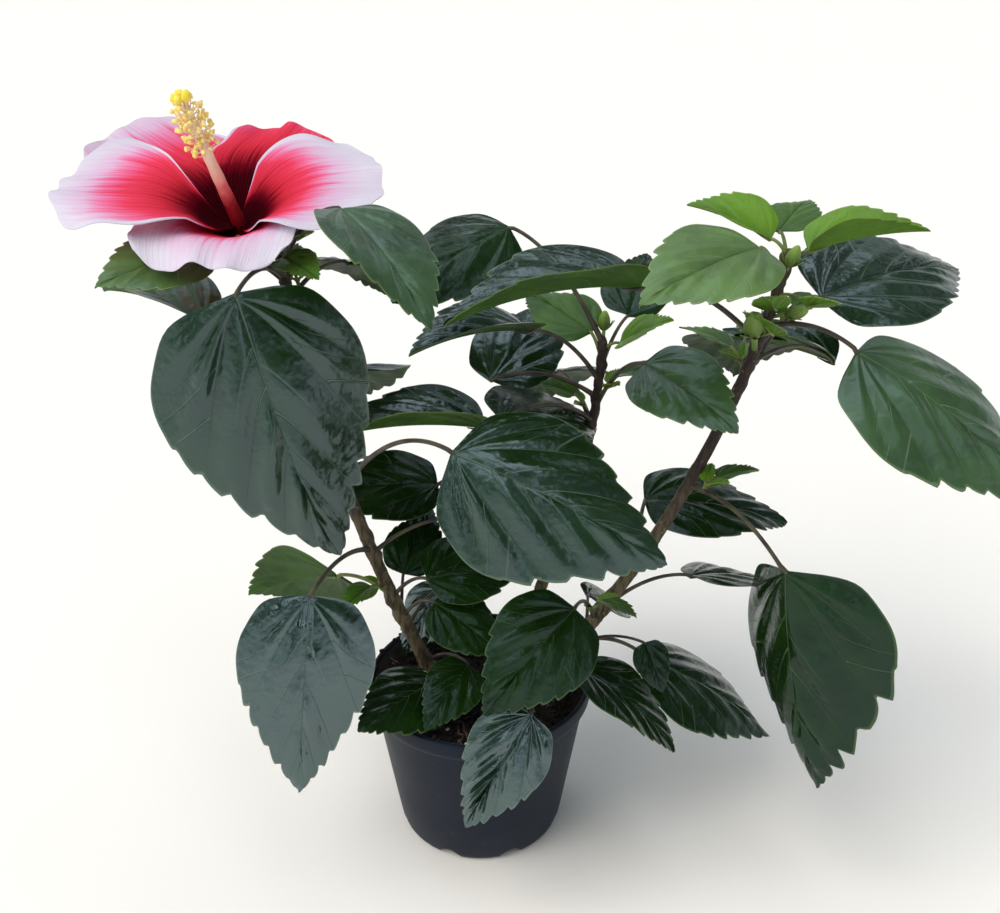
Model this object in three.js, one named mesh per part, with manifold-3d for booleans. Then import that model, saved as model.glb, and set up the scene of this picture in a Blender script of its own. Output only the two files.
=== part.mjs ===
// A potted hibiscus: three woody stems in a nursery pot, broad toothed leaves on long
// stalks, a leafy crown on each stem and one large ruffled bloom on the left one.
// Millimetres, +Z up. The origin is the centre of the pot's flat underside and -Y is the
// side the plant is shown from. A direction is a heading (0 = +X, 90 = +Y) and an angle.
import * as THREE from "three";
import { mergeVertices } from "three/addons/utils/BufferGeometryUtils.js";
import Module from "manifold-3d";

const wasm = await Module();
wasm.setup();

// ---------------------------------------------------------------- driving dimensions
const GAP = 0.3; // clearance kept between pieces that meet
const POT = { foot: 44.5, rim: 60.5, height: 92, wall: 1.6, floor: 2.2, band: 10, sides: 36 };
const NOTCH = { count: 8, radius: 6 }; // drainage arches round the foot
const SOIL = { top: 84, crumble: 2 }; // level of the compost, fall towards its edge

// A stem's axis is foot + lean*h + bend*h*h, h being the height above the soil; the bare
// bough ends at `fork`, where its crown takes over and carries on to `tip`.
// Its radius is girth[0] at the soil and girth[1] at the tip.
const STEMS = {
  left: {
    foot: [-24, 6], lean: [-0.42, -0.09], bend: [0.00052, 0.0007], fork: 268, tip: 320, girth: [4.0, 2.3],
  },
  middle: {
    foot: [12, 18], lean: [0.52, 0.2], bend: [-0.0013, -0.0004], fork: 205, tip: 272, girth: [3.6, 1.9],
  },
  right: {
    foot: [27, -7], lean: [0.78, 0.06], bend: [-0.0012, 0], fork: 245, tip: 328, girth: [4.3, 2.3],
  },
};
const FLARE = { gain: 0.55, height: 7 }; // the root flare: extra girth and its reach

// Leaves of each stem, from the soil up: the height where the stalk leaves the stem, the
// stalk as [heading, rise, length] and the blade as [heading, droop, length]. Roll turns
// the blade about its midrib, fold lifts both halves into a V, arch is the midrib's bend
// from base to tip, wide scales the blade's width and axil counts the small shoots that
// sprout from the stalk's foot.
const LEAVES = {
  left: [
    { at: 92, stalk: [285, 26, 28], blade: [230, -2, 60], roll: -20, fold: -8, arch: 20 },
    { at: 97, stalk: [310, 27, 42], blade: [235, 25, 42], roll: -25, fold: 5, arch: 25 },
    { at: 120, stalk: [60, 13, 32], blade: [200, 60, 44], roll: -30, fold: 5, arch: 20 },
    { at: 127, stalk: [315, 40, 34], blade: [336, 30, 46], roll: 30, fold: 5, arch: 25 },
    { at: 129, stalk: [85, 60, 22], blade: [70, -25, 45], roll: 10, fold: 8, arch: 25 },
    { at: 140, stalk: [326, 40, 31], blade: [30, 5, 60], roll: 25, fold: 5, arch: 25 },
    { at: 140, stalk: [165, 16, 32], blade: [150, 27, 74], roll: 60, fold: 10, arch: 25, axil: 1 },
    { at: 167, stalk: [13, 15, 53], blade: [6, 25, 62], roll: 20, fold: -5, arch: 30 },
    { at: 169, stalk: [245, 5, 58], blade: [256, 71, 100], roll: -20, fold: -10, arch: 30, wide: 0.94 },
    { at: 190, stalk: [150, 20, 40], blade: [110, 30, 80], roll: 0, fold: 5, arch: 35 },
    {
      at: 206, stalk: [312, 30, 100], blade: [345, 24, 108],
      roll: 40, fold: -12, arch: 40, wide: 1.06, axil: 2,
    },
    { at: 240, stalk: [85, 10, 50], blade: [95, 35, 100], roll: 0, fold: 5, arch: 35 },
    { at: 288, stalk: [157, -6, 56], blade: [147, -3, 74], roll: -10, fold: 30, arch: 25, axil: 1 },
    { at: 300, stalk: [50, 15, 40], blade: [80, 30, 80], roll: 0, fold: 5, arch: 30, axil: 1 },
    { at: 308, stalk: [178, 20, 42], blade: [222, 5, 56], roll: -25, fold: 8, arch: 30 },
    {
      at: 311, stalk: [257, 9, 56], blade: [335, 75, 134],
      roll: 45, fold: -14, arch: 30, wide: 1.05, axil: 1,
    },
    { at: 317, stalk: [310, 38, 48], blade: [318, 27, 80], roll: -10, fold: 14, arch: 30, axil: 2 },
  ],
  middle: [
    { at: 125, stalk: [60, 25, 50], blade: [80, 30, 85], roll: 0, fold: 5, arch: 35 },
    { at: 172, stalk: [180, 22, 42], blade: [165, 8, 36], roll: -15, fold: 5, arch: 25 },
    { at: 190, stalk: [174, -2, 76], blade: [186, 2, 66], roll: -25, fold: 5, arch: 25 },
    { at: 223, stalk: [199, 9, 60], blade: [194, -2, 84], roll: -4, fold: 30, arch: 25 },
    { at: 224, stalk: [110, 15, 50], blade: [95, 35, 95], roll: 0, fold: 6, arch: 35, axil: 1 },
    { at: 227, stalk: [218, 16, 63], blade: [45, 18, 81], roll: 20, fold: -5, arch: 30 },
    { at: 234, stalk: [297, 43, 59], blade: [310, 14, 62], roll: 25, fold: 8, arch: 30, axil: 1 },
    { at: 240, stalk: [159, 1, 59], blade: [52, -21, 68], roll: 20, fold: 6, arch: 20 },
    { at: 249, stalk: [207, 40, 54], blade: [215, -2, 70], roll: -20, fold: -8, arch: 30 },
    { at: 255, stalk: [52, 42, 34], blade: [73, -22, 52], roll: 5, fold: 10, arch: 25 },
    { at: 260, stalk: [144, 63, 16], blade: [133, -10, 49], roll: -15, fold: 8, arch: 25 },
    { at: 265, stalk: [324, 34, 12], blade: [327, -32, 34], roll: 20, fold: 20, arch: 15 },
    { at: 269, stalk: [146, 42, 78], blade: [212, 22, 76], roll: -30, fold: -10, arch: 30 },
  ],
  right: [
    { at: 100, stalk: [257, 14, 60], blade: [208, 57, 68], roll: -35, fold: 5, arch: 20, wide: 0.88 },
    { at: 105, stalk: [290, 29, 36], blade: [330, 32, 62], roll: -8, fold: 12, arch: 30 },
    { at: 114, stalk: [345, 14, 40], blade: [310, 58, 28], roll: 20, fold: 10, arch: 20 },
    { at: 117, stalk: [20, -25, 47], blade: [352, 33, 87], roll: 5, fold: -8, arch: 30 },
    { at: 125, stalk: [85, 5, 30], blade: [35, 40, 42], roll: 10, fold: 10, arch: 20 },
    {
      at: 131, stalk: [251, 38, 54], blade: [215, 37, 68],
      roll: -35, fold: 6, arch: 28, wide: 1.08, axil: 1,
    },
    { at: 137, stalk: [0, 25, 50], blade: [18, 18, 60], roll: -15, fold: 5, arch: 30 },
    { at: 161, stalk: [77, 18, 51], blade: [4, 13, 84], roll: 10, fold: 6, arch: 30 },
    {
      at: 208, stalk: [310, -18, 67], blade: [320, 75, 120],
      roll: 98, fold: -24, arch: 25, wide: 1.08, axil: 1,
    },
    { at: 262, stalk: [39, 30, 66], blade: [31, 1, 104], roll: 20, fold: 6, arch: 35 },
    { at: 264, stalk: [78, 8, 45], blade: [82, 35, 88], roll: 0, fold: 5, arch: 35, axil: 1 },
    { at: 272, stalk: [37, -12, 68], blade: [161, -4, 68], roll: -8, fold: 32, arch: 28 },
    { at: 283, stalk: [189, 28, 68], blade: [196, 6, 95], roll: -8, fold: 30, arch: 30, axil: 1 },
    { at: 287, stalk: [278, 24, 17], blade: [222, -34, 28], roll: 0, fold: 10, arch: 20 },
    { at: 291, stalk: [327, -3, 46], blade: [337, 34, 108], roll: 22, fold: -8, arch: 30, axil: 2 },
    { at: 300, stalk: [250, 45, 26], blade: [200, -50, 24], roll: 20, fold: 10, arch: 15 },
    { at: 306, stalk: [305, 5, 20], blade: [300, -45, 24], roll: 20, fold: 15, arch: 15 },
    { at: 311, stalk: [225, 50, 30], blade: [216, 10, 74], roll: -20, fold: 8, arch: 28 },
    { at: 318, stalk: [352, 46, 15], blade: [0, -10, 56], roll: -10, fold: 32, arch: 20 },
    { at: 323, stalk: [89, 20, 24], blade: [59, -8, 42], roll: 0, fold: 10, arch: 20 },
    { at: 325, stalk: [160, 42, 12], blade: [150, -14, 44], roll: -35, fold: 15, arch: 20 },
  ],
};
const EVERY_LEAF = Object.entries(LEAVES).flatMap(([on, rows]) => rows.map((row) => ({ on, ...row })));
const BLADE = { halfWidth: 0.37, thick: 0.0115, least: 1.1 }; // per length, and in mm
const STALK = { thick: 1.35, thin: 1.0, lift: 0.14 }; // radii, and its arch per length
// Closed flower buds: heading and rise of each from the stem at a height, its length.
const BUDS = [
  { on: "right", at: 322, toward: [20, 62], length: 24 },
  { on: "right", at: 308, toward: [205, 60], length: 20 },
  { on: "left", at: 312, toward: [350, 35], length: 20 },
  { on: "middle", at: 268, toward: [80, 70], length: 18 },
];

// The bloom: where its petals join, which way it leans, how far its petals reach.
const BLOOM = {
  heart: [-114.5, 31, 336], lean: 16, leanTo: 259, reach: 79, depth: 19, calyx: 20, stalkAt: 315,
  petals: [
    { turn: 25, reach: 0.88, spread: 1.12, lap: 1, lift: 0 },
    { turn: 84, reach: 0.86, spread: 1, lap: 1, lift: 0 },
    { turn: 128, reach: 1.12, spread: 1, lap: 0, lift: 0 },
    { turn: 176, reach: 1.06, spread: 1, lap: -1, lift: 2 },
    { turn: 264, reach: 0.84, spread: 1.1, lap: -1, lift: -1 },
  ],
  column: { length: 67, heading: 240, rise: 65, stamens: 26 },
};

// ---------------------------------------------------------------- small vector helpers
const V = (x, y, z) => new THREE.Vector3(x, y, z);
const rad = (degrees) => (degrees * Math.PI) / 180;
const mix = (a, b, t) => a + (b - a) * t;

/** Unit vector for a heading and a rise, both in degrees. */
function toward(heading, rise) {
  const level = Math.cos(rad(rise));
  return V(level * Math.cos(rad(heading)), level * Math.sin(rad(heading)), Math.sin(rad(rise)));
}

/** A repeatable run of numbers in 0..1, its start set by `seed`. */
function dice(seed) {
  let state = Math.imul(seed + 1, 2654435761) >>> 0;
  return () => (state = (Math.imul(state, 1664525) + 1013904223) >>> 0) / 4294967296;
}

// ---------------------------------------------------------------- solids and meshes
/** Closed solid from a geometry whose corners are shared by position. */
function solid(geometry) {
  const bare = new THREE.BufferGeometry();
  bare.setAttribute("position", geometry.getAttribute("position"));
  if (geometry.index) bare.setIndex(geometry.index);
  const welded = mergeVertices(bare, 1e-4);
  const corners = welded.index.array, kept = [];
  for (let i = 0; i < corners.length; i += 3) {
    const [a, b, c] = [corners[i], corners[i + 1], corners[i + 2]];
    if (a !== b && b !== c && c !== a) kept.push(a, b, c);
  }
  return new wasm.Manifold(new wasm.Mesh({
    numProp: 3,
    vertProperties: Float32Array.from(welded.getAttribute("position").array),
    triVerts: Uint32Array.from(kept),
  }));
}

/** Joins solids, fills any hollow the joining sealed, drops loose scrap and slivers. */
function fuse(pieces) {
  const joined = wasm.Manifold.union(pieces);
  return joined.decompose().sort((a, b) => b.volume() - a.volume())[0].simplify(0.02);
}

/** A named mesh from a solid, with its own paint. */
function part(name, shape, color, roughness) {
  const { numProp, vertProperties, triVerts } = shape.getMesh();
  const geometry = new THREE.BufferGeometry();
  const places = new Float32Array((vertProperties.length / numProp) * 3);
  for (let i = 0; i < places.length / 3; i++)
    for (let k = 0; k < 3; k++) places[3 * i + k] = vertProperties[i * numProp + k];
  geometry.setAttribute("position", new THREE.BufferAttribute(places, 3));
  geometry.setIndex(new THREE.BufferAttribute(Uint32Array.from(triVerts), 1));
  const flat = geometry.toNonIndexed();
  flat.computeVertexNormals();
  const made = new THREE.Mesh(flat, new THREE.MeshStandardMaterial({ color, roughness, metalness: 0 }));
  made.name = name;
  return made;
}

/** Solid skin between rings of points: each ring is joined to the next, ends capped. */
function loft(rings) {
  const size = rings[0].length, last = rings.length - 1, places = [], index = [];
  for (const ring of rings) for (const p of ring) places.push(p.x, p.y, p.z);
  for (let i = 0; i < last; i++)
    for (let j = 0; j < size; j++) {
      const a = i * size + j, b = i * size + ((j + 1) % size);
      index.push(a, b, b + size, a, b + size, a + size);
    }
  for (let j = 1; j < size - 1; j++) {
    index.push(0, j + 1, j);
    index.push(last * size, last * size + j, last * size + j + 1);
  }
  return solidFrom(places, index);
}

/** Solid plate between a grid of points and the same grid moved down its normals. */
function plate(top, under) {
  const rows = top.length, cols = top[0].length, count = rows * cols, places = [], index = [];
  for (const grid of [top, under]) for (const row of grid) for (const p of row) places.push(p.x, p.y, p.z);
  const at = (i, j) => i * cols + j;
  for (let i = 0; i + 1 < rows; i++)
    for (let j = 0; j + 1 < cols; j++) {
      const q = [at(i, j), at(i, j + 1), at(i + 1, j + 1), at(i + 1, j)];
      const turned = (j < (cols - 1) / 2) ? [0, 1, 3, 1, 2, 3] : [0, 1, 2, 0, 2, 3];
      for (const k of turned) index.push(q[k]);
      for (const k of [...turned].reverse()) index.push(count + q[k]);
    }
  const rim = [];
  for (let j = 0; j < cols; j++) rim.push(at(0, j));
  for (let i = 1; i < rows; i++) rim.push(at(i, cols - 1));
  for (let j = cols - 2; j >= 0; j--) rim.push(at(rows - 1, j));
  for (let i = rows - 2; i > 0; i--) rim.push(at(i, 0));
  rim.forEach((a, k) => {
    const b = rim[(k + 1) % rim.length];
    index.push(b, a, count + a, b, count + a, count + b);
  });
  return solidFrom(places, index);
}

function solidFrom(places, index) {
  const geometry = new THREE.BufferGeometry();
  geometry.setAttribute("position", new THREE.Float32BufferAttribute(places, 3));
  geometry.setIndex(index);
  return solid(geometry);
}

/** Round bar along a list of points, its radius given at each of them. */
function bar(points, radii, sides) {
  const chord = points[points.length - 1].clone().sub(points[0]);
  const reference = Math.abs(chord.z) < 0.8 * chord.length() ? V(0, 0, 1) : V(0, 1, 0);
  return loft(points.map((p, i) => {
    const next = points[Math.min(i + 1, points.length - 1)], before = points[Math.max(i - 1, 0)];
    const along = next.clone().sub(before).normalize();
    const side = along.clone().cross(reference).normalize(), up = side.clone().cross(along);
    return Array.from({ length: sides }, (_, k) => {
      const turn = (2 * Math.PI * k) / sides;
      return p.clone().addScaledVector(side, -radii[i] * Math.cos(turn))
        .addScaledVector(up, radii[i] * Math.sin(turn));
    });
  }));
}

// ---------------------------------------------------------------- the stems
/** Point of a stem's axis at a height z, and its slope there. */
function axisAt(stem, z) {
  const h = z - SOIL.top;
  return V(...[0, 1].map((i) => stem.foot[i] + stem.lean[i] * h + stem.bend[i] * h * h), z);
}
function slopeAt(stem, z) {
  return [0, 1].map((i) => stem.lean[i] + 2 * stem.bend[i] * (z - SOIL.top));
}

/** Radius of a stem at a height: a straight taper with a flare at the soil. */
function girthAt(stem, z) {
  const h = z - SOIL.top;
  const plain = mix(stem.girth[0], stem.girth[1], h / (stem.tip - SOIL.top));
  return plain * (1 + FLARE.gain * Math.exp(-h / FLARE.height));
}

/** A length of stem between two level cuts; `extra` swells it evenly. */
function limb(stem, from, to, extra = 0, sides = 8) {
  const steps = Math.max(2, Math.round((to - from) / 20)), rings = [];
  for (let i = 0; i <= steps; i++) {
    // the foot gets closer rings, where the flare is
    const z = mix(from, to, Math.pow(i / steps, from < SOIL.top + 5 ? 1.5 : 1));
    const middle = axisAt(stem, z), slope = slopeAt(stem, z), r = girthAt(stem, z) + extra;
    const steep = Math.hypot(...slope), stretch = Math.sqrt(1 + steep * steep) - 1;
    rings.push(Array.from({ length: sides }, (_, k) => {
      const turn = (2 * Math.PI * k) / sides, x = r * Math.cos(turn), y = r * Math.sin(turn);
      const along = steep > 0 ? (stretch * (x * slope[0] + y * slope[1])) / (steep * steep) : 0;
      return V(middle.x + x + along * slope[0], middle.y + y + along * slope[1], z);
    }));
  }
  return loft(rings);
}

// ---------------------------------------------------------------- the leaves
/** Half-width of a blade at u (0 base, 1 tip) as a share of its widest. */
function outline(u) {
  return Math.pow(Math.sin(Math.PI * Math.pow(Math.min(u, 1), 0.643)), 0.7) * (1 - 0.45 * u * u * u);
}

/** Base frame of a blade: t along the midrib, s to its right, n out of its upper face. */
function bladeFrame(blade, roll) {
  const t = toward(blade[0], -blade[1]);
  const level = V(Math.sin(rad(blade[0])), -Math.cos(rad(blade[0])), 0);
  const rise = level.clone().cross(t);
  const n = rise.multiplyScalar(Math.cos(rad(roll))).addScaledVector(level, Math.sin(rad(roll)));
  return { t, n, s: t.clone().cross(n) };
}

/** Midrib point and the upper normal at u on a blade bent into an arc. */
function midrib(base, leaf, u) {
  const { t, n, s } = bladeFrame(leaf.blade, leaf.roll), L = leaf.blade[2];
  const a = rad(leaf.arch), tilt = a * (0.5 - u);
  const out = (Math.sin(a / 2) - Math.sin(tilt)) / a, up = (Math.cos(tilt) - Math.cos(a / 2)) / a;
  return {
    p: base.clone().addScaledVector(t, L * out).addScaledVector(n, L * up),
    n: n.clone().multiplyScalar(Math.cos(tilt)).addScaledVector(t, -Math.sin(tilt)), s,
  };
}

/** The blade as a thin closed plate. */
function blade(base, leaf) {
  const L = leaf.blade[2], grade = L < 48 ? 0 : L < 75 ? 1 : 2;
  const stations = [[0, 0.14, 0.5, 1], [0, 0.09, 0.32, 0.68, 1], [0, 0.07, 0.25, 0.5, 0.78, 1]][grade];
  const across = grade ? [-1, -0.5, 0, 0.5, 1] : [-1, 0, 1];
  const thick = Math.max(BLADE.least, BLADE.thick * L), top = [], under = [];
  for (const u of stations) {
    const { p, n, s } = midrib(base, leaf, u);
    const half = Math.max(0.8, BLADE.halfWidth * (leaf.wide || 1) * L * outline(u));
    const row = across.map((v) => p.clone()
      .addScaledVector(s, v * half * Math.cos(rad(leaf.fold)))
      .addScaledVector(n, half * (Math.abs(v) * Math.sin(rad(leaf.fold)) - 0.12 * v * v)));
    top.push(row);
    under.push(row.map((q) => q.clone().addScaledVector(n, -thick)));
  }
  return plate(top, under);
}

/** Point at f (0..1) on a stalk that rises from its foot and arches over to the blade. */
function stalkAt(foot, leaf, f) {
  const reach = toward(leaf.stalk[0], leaf.stalk[1]).multiplyScalar(leaf.stalk[2]);
  const arch = 4 * f * (1 - f) * STALK.lift * leaf.stalk[2];
  return foot.clone().addScaledVector(reach, f).add(V(0, 0, arch));
}

/** Stalk and blade together; the stalk's foot lies inside whatever it grows from. */
function leafSolids(foot, leaf) {
  const base = stalkAt(foot, leaf, 1), size = Math.min(1, 0.55 + leaf.blade[2] / 200);
  const steps = leaf.stalk[2] > 30 ? 3 : 1, points = [], radii = [];
  for (let i = 0; i <= steps; i++) {
    points.push(stalkAt(foot, leaf, i / steps));
    radii.push(size * mix(STALK.thick, STALK.thin, i / steps));
  }
  const inside = midrib(base, leaf, 0.12);
  points.push(inside.p.addScaledVector(inside.n, -0.4));
  radii.push(size * STALK.thin * 0.9);
  return [bar(points, radii, 4), blade(base, leaf)];
}

/** The little shoots in a stalk's axil, dealt by rule; one that is not clear is skipped. */
function axilShoots(foot, leaf, number) {
  const shoots = [];
  for (let k = 0; k < (leaf.axil || 0); k++) {
    const roll = dice(number * 16 + k), side = k % 2 ? 1 : -1;
    const heading = leaf.stalk[0] + side * (40 + 45 * roll()), rise = 30 + 30 * roll();
    const shoot = {
      stalk: [heading, rise, 9 + 6 * roll()],
      blade: [heading + 50 * (roll() - 0.5), 25 * (roll() - 0.7), 17 + 13 * roll()],
      roll: 40 * (roll() - 0.5), fold: 18, arch: 20,
    };
    const from = stalkAt(foot, leaf, 0.16), base = stalkAt(from, shoot, 1);
    if ([0.5, 1].every((u) => isClear(midrib(base, shoot, u).p, number))) shoots.push({ from, shoot });
  }
  return shoots;
}

/** True where a point keeps off every stem and off the midribs of the other leaves. */
function isClear(p, number) {
  for (const stem of Object.values(STEMS))
    for (let z = SOIL.top; z < stem.tip; z += 5) if (axisAt(stem, z).distanceTo(p) < 8) return false;
  return EVERY_LEAF.every((leaf, i) => {
    const base = stalkAt(axisAt(STEMS[leaf.on], leaf.at), leaf, 1);
    return i === number || [0.1, 0.3, 0.5, 0.7, 0.9].every((u) => midrib(base, leaf, u).p.distanceTo(p) > 13);
  });
}

/** A closed bud on its short stalk. */
function bud({ on, at, toward: [heading, rise], length }) {
  const foot = axisAt(STEMS[on], at), way = toward(heading, rise);
  const stops = [0, 0.36, 0.48, 0.72, 1], radii = [0.06, 0.06, 0.17, 0.15, 0.03];
  const points = stops.map((f) => foot.clone().addScaledVector(way, f * length));
  return bar(points, radii.map((r) => r * length), 6);
}

/** Every solid of one leaf and the shoots at its foot. */
function spray(leaf, number) {
  const foot = axisAt(STEMS[leaf.on], leaf.at);
  const pieces = leafSolids(foot, leaf);
  for (const { from, shoot } of axilShoots(foot, leaf, number)) pieces.push(...leafSolids(from, shoot));
  return pieces;
}

// ---------------------------------------------------------------- the bloom
/** The bloom's own axes: a up its column, e to its right, f away. */
function bloomFrame() {
  const a = toward(BLOOM.leanTo, 90 - BLOOM.lean);
  const e = V(1, 0, 0).addScaledVector(a, -a.x).normalize();
  return { a, e, f: a.clone().cross(e), heart: V(...BLOOM.heart) };
}

/** The column's axis, which leans more than the bloom, and a point on a ring about it. */
function columnFrame() {
  const { e, heart } = bloomFrame(), axis = toward(BLOOM.column.heading, BLOOM.column.rise);
  const side = e.clone().cross(axis).normalize(), across = side.clone().cross(axis);
  const ring = (h, r, turn) => heart.clone().addScaledVector(axis, h)
    .addScaledVector(side, r * Math.cos(turn)).addScaledVector(across, r * Math.sin(turn));
  return { at: (h) => ring(h, 0, 0), ring };
}

/** Point of petal k: u runs from its claw to its edge, v from side to side. */
function petalAt(k, u, v) {
  const { a, e, f, heart } = bloomFrame(), petal = BLOOM.petals[k];
  const spread = petal.spread * rad(24 + 26 * Math.sin(Math.PI * Math.pow(u, 0.85) * 0.72));
  const turn = rad(petal.turn) + v * spread * (1 - 0.25 * Math.pow(u, 6));
  const rounding = 1 - 0.1 * u * u * Math.pow(Math.abs(v), 3);
  const reach = BLOOM.reach * petal.reach * (0.03 + 0.97 * Math.pow(u, 1.12)) * rounding;
  const cup = BLOOM.depth * Math.sin((Math.PI * u) / 2) - 2 * Math.pow(u, 6);
  const ruffle = u * u * u * (2.2 * Math.sin(6.5 * v + 2 * k) + 1.4 * Math.sin(11 * v + k));
  const lap = 3.2 * petal.lap * v * Math.sin(Math.PI * Math.min(1, 0.15 + u * 0.8));
  const height = cup + petal.lift * u + ruffle + lap;
  return heart.clone().addScaledVector(e, reach * Math.cos(turn)).addScaledVector(f, reach * Math.sin(turn))
    .addScaledVector(a, height);
}

function petal(k) {
  const { a } = bloomFrame(), top = [], under = [];
  for (const u of [0, 0.16, 0.34, 0.52, 0.7, 0.86, 1]) {
    const row = [1, 0.75, 0.4, 0, -0.4, -0.75, -1].map((v) => petalAt(k, u, v));
    top.push(row);
    under.push(row.map((p) => p.clone().addScaledVector(a, -1.2)));
  }
  return plate(top, under);
}

/** The column with its brush of stamens and the five-headed stigma. */
function column() {
  const { at, ring } = columnFrame(), { length, stamens } = BLOOM.column, roll = dice(7);
  const pieces = [bar([-4, 20, 45, length - 4].map(at), [3.6, 2.3, 1.9, 1.2], 7)];
  for (let i = 0; i < stamens; i++) {
    const h = length - 34 + 29 * (i / stamens), turn = i * 2.4 + roll(), reach = 5 + 3.5 * roll();
    const tip = ring(h + 1.5 + 3 * roll(), reach, turn);
    pieces.push(bar([at(h), tip], [0.55, 0.4], 3), ball(tip, 1.25));
  }
  for (let i = 0; i < 5; i++) {
    const tip = ring(length, 3.2, i * 1.257 + 0.3);
    pieces.push(bar([at(length - 6), tip], [0.8, 0.6], 3), ball(tip, 1.7));
  }
  return pieces;
}

function ball(centre, radius) {
  return solid(new THREE.OctahedronGeometry(radius, 0)).translate([centre.x, centre.y, centre.z]);
}

/** Calyx cup under the petals, and the flower stalk back to the stem's side. */
function calyx() {
  const { at, ring } = columnFrame(), sides = 10;
  const hoop = (h, r) => Array.from({ length: sides }, (_, k) => ring(h, r, (-2 * Math.PI * k) / sides));
  const cup = loft([hoop(-BLOOM.calyx, 2.2), hoop(-BLOOM.calyx + 4, 5), hoop(-6, 6.2), hoop(1.5, 5.6)]);
  const foot = axisAt(STEMS.left, BLOOM.stalkAt), end = at(-BLOOM.calyx + 1);
  const bend = foot.clone().lerp(end, 0.55).add(V(1, 3, -3));
  return [cup, bar([foot, bend, end], [1.9, 1.7, 2.1], 7)];
}

// ---------------------------------------------------------------- pot and compost
/** Solid turned about the Z axis from [radius, height] pairs that start and end on it. */
function turned(profile) {
  const points = profile.map(([r, z]) => new THREE.Vector2(r, z));
  return solid(new THREE.LatheGeometry(points, POT.sides).rotateX(Math.PI / 2));
}

/** Outer radius of the pot's plain wall at a height. */
const wallAt = (z) => mix(POT.foot + 1, POT.rim - 3, (z - 5) / (POT.height - 15));

function pot() {
  const { height: top, band, wall, rim, foot } = POT, low = top - band;
  const shell = turned([
    [0, 0], [foot - 3, 0], [foot - 0.8, 1], [wallAt(5), 5], [wallAt(low - 1), low - 1], [rim - 0.8, low],
    [rim, low + 2], [rim, top - 1], [rim - 0.8, top], [rim - 2.2, top], [rim - 3, top - 1],
    [wallAt(low) - wall, low - 2], [wallAt(8) - wall, 6], [wallAt(5) - wall - 2, POT.floor], [0, POT.floor],
  ]);
  const notches = Array.from({ length: NOTCH.count }, (_, k) => {
    const arch = new THREE.CylinderGeometry(NOTCH.radius, NOTCH.radius, 12, 10).rotateZ(Math.PI / 2);
    return solid(arch.translate(foot, 0, 0).rotateZ((2 * Math.PI * (k + 0.5)) / NOTCH.count));
  });
  return fuse([shell.subtract(wasm.Manifold.union(notches))]);
}

function compost() {
  const { wall, floor, height, band, rim } = POT, low = height - band, inside = wall + GAP + 0.1;
  return turned([
    [0, floor + GAP], [wallAt(5) - inside - 2.2, floor + GAP], [wallAt(8) - inside, 6.4],
    [wallAt(low) - inside - 0.2, low - 2], [rim - 5, SOIL.top - SOIL.crumble],
    [rim - 8, SOIL.top - 0.6], [rim - 13, SOIL.top], [0, SOIL.top],
  ]);
}

// ---------------------------------------------------------------- assembly
const plant = new THREE.Group();
plant.name = "hibiscus";
plant.add(part("pot", pot(), 0x383c47, 0.5));
plant.add(part("soil", compost(), 0x0d0b0a, 0.95));

for (const [side, stem] of Object.entries(STEMS)) {
  plant.add(part("stem_" + side, limb(stem, SOIL.top + GAP, stem.fork), 0x453c30, 0.8));
  const clearance = limb(stem, SOIL.top - 5, stem.fork + GAP, GAP + 0.05);
  const crown = [limb(stem, stem.fork + GAP, stem.tip), ...BUDS.filter(({ on }) => on === side).map(bud)];
  let count = 0;
  EVERY_LEAF.forEach((leaf, number) => {
    if (leaf.on !== side) return;
    const pieces = spray(leaf, number);
    if (leaf.at > stem.fork) return crown.push(...pieces);
    count += 1;
    const free = fuse([fuse(pieces).subtract(clearance)]);
    plant.add(part(`spray_${side}_${count}`, free, 0x24421c, 0.5));
  });
  plant.add(part("crown_" + side, fuse(crown), 0x2c5220, 0.5));
}

const bloom = fuse([...BLOOM.petals.map((_, k) => petal(k)), ...column(), ...calyx()]);
const besideStem = limb(STEMS.left, STEMS.left.fork, STEMS.left.tip + 3, GAP + 0.05);
plant.add(part("flower", fuse([bloom.subtract(besideStem)]), 0xd84868, 0.6));

export default plant;
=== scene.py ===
# %% [markdown]
# # A potted hibiscus, grown by rule
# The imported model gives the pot, three woody stems and the place of every leaf as plain
# solids. This lesson dresses them: it loads the solids as a frame, repeats the rule that
# placed the leaves, and grows finer leaves, bark, compost and a ruffled bloom on the same
# spots. Keeping the frame fixed means that every new piece fits without any nudging.

# %% Load the frame
import math
import bpy
import numpy as np
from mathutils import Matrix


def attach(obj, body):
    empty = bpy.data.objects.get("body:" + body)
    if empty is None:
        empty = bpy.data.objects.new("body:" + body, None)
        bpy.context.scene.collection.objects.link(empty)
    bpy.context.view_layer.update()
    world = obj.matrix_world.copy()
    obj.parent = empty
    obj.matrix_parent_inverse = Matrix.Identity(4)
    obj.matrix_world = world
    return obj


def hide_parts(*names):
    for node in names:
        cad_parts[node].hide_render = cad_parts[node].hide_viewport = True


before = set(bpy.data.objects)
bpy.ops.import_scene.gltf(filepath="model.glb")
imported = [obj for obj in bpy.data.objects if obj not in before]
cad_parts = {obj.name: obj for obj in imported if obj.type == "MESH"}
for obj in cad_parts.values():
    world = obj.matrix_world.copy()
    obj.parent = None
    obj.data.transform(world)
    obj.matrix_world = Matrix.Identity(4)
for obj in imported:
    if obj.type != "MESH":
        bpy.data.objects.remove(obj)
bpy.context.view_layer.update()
MM = 0.001  # the rule below counts in millimetres, Blender in metres

# %% [markdown]
# ## The camera
# It looks down on the plant from the front, as a person does who stands before a table.
# A camera needs a place, a direction and a lens. A tracking constraint could aim it, but
# one plain tilt is easier to read and stays put when other views move the camera.

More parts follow.
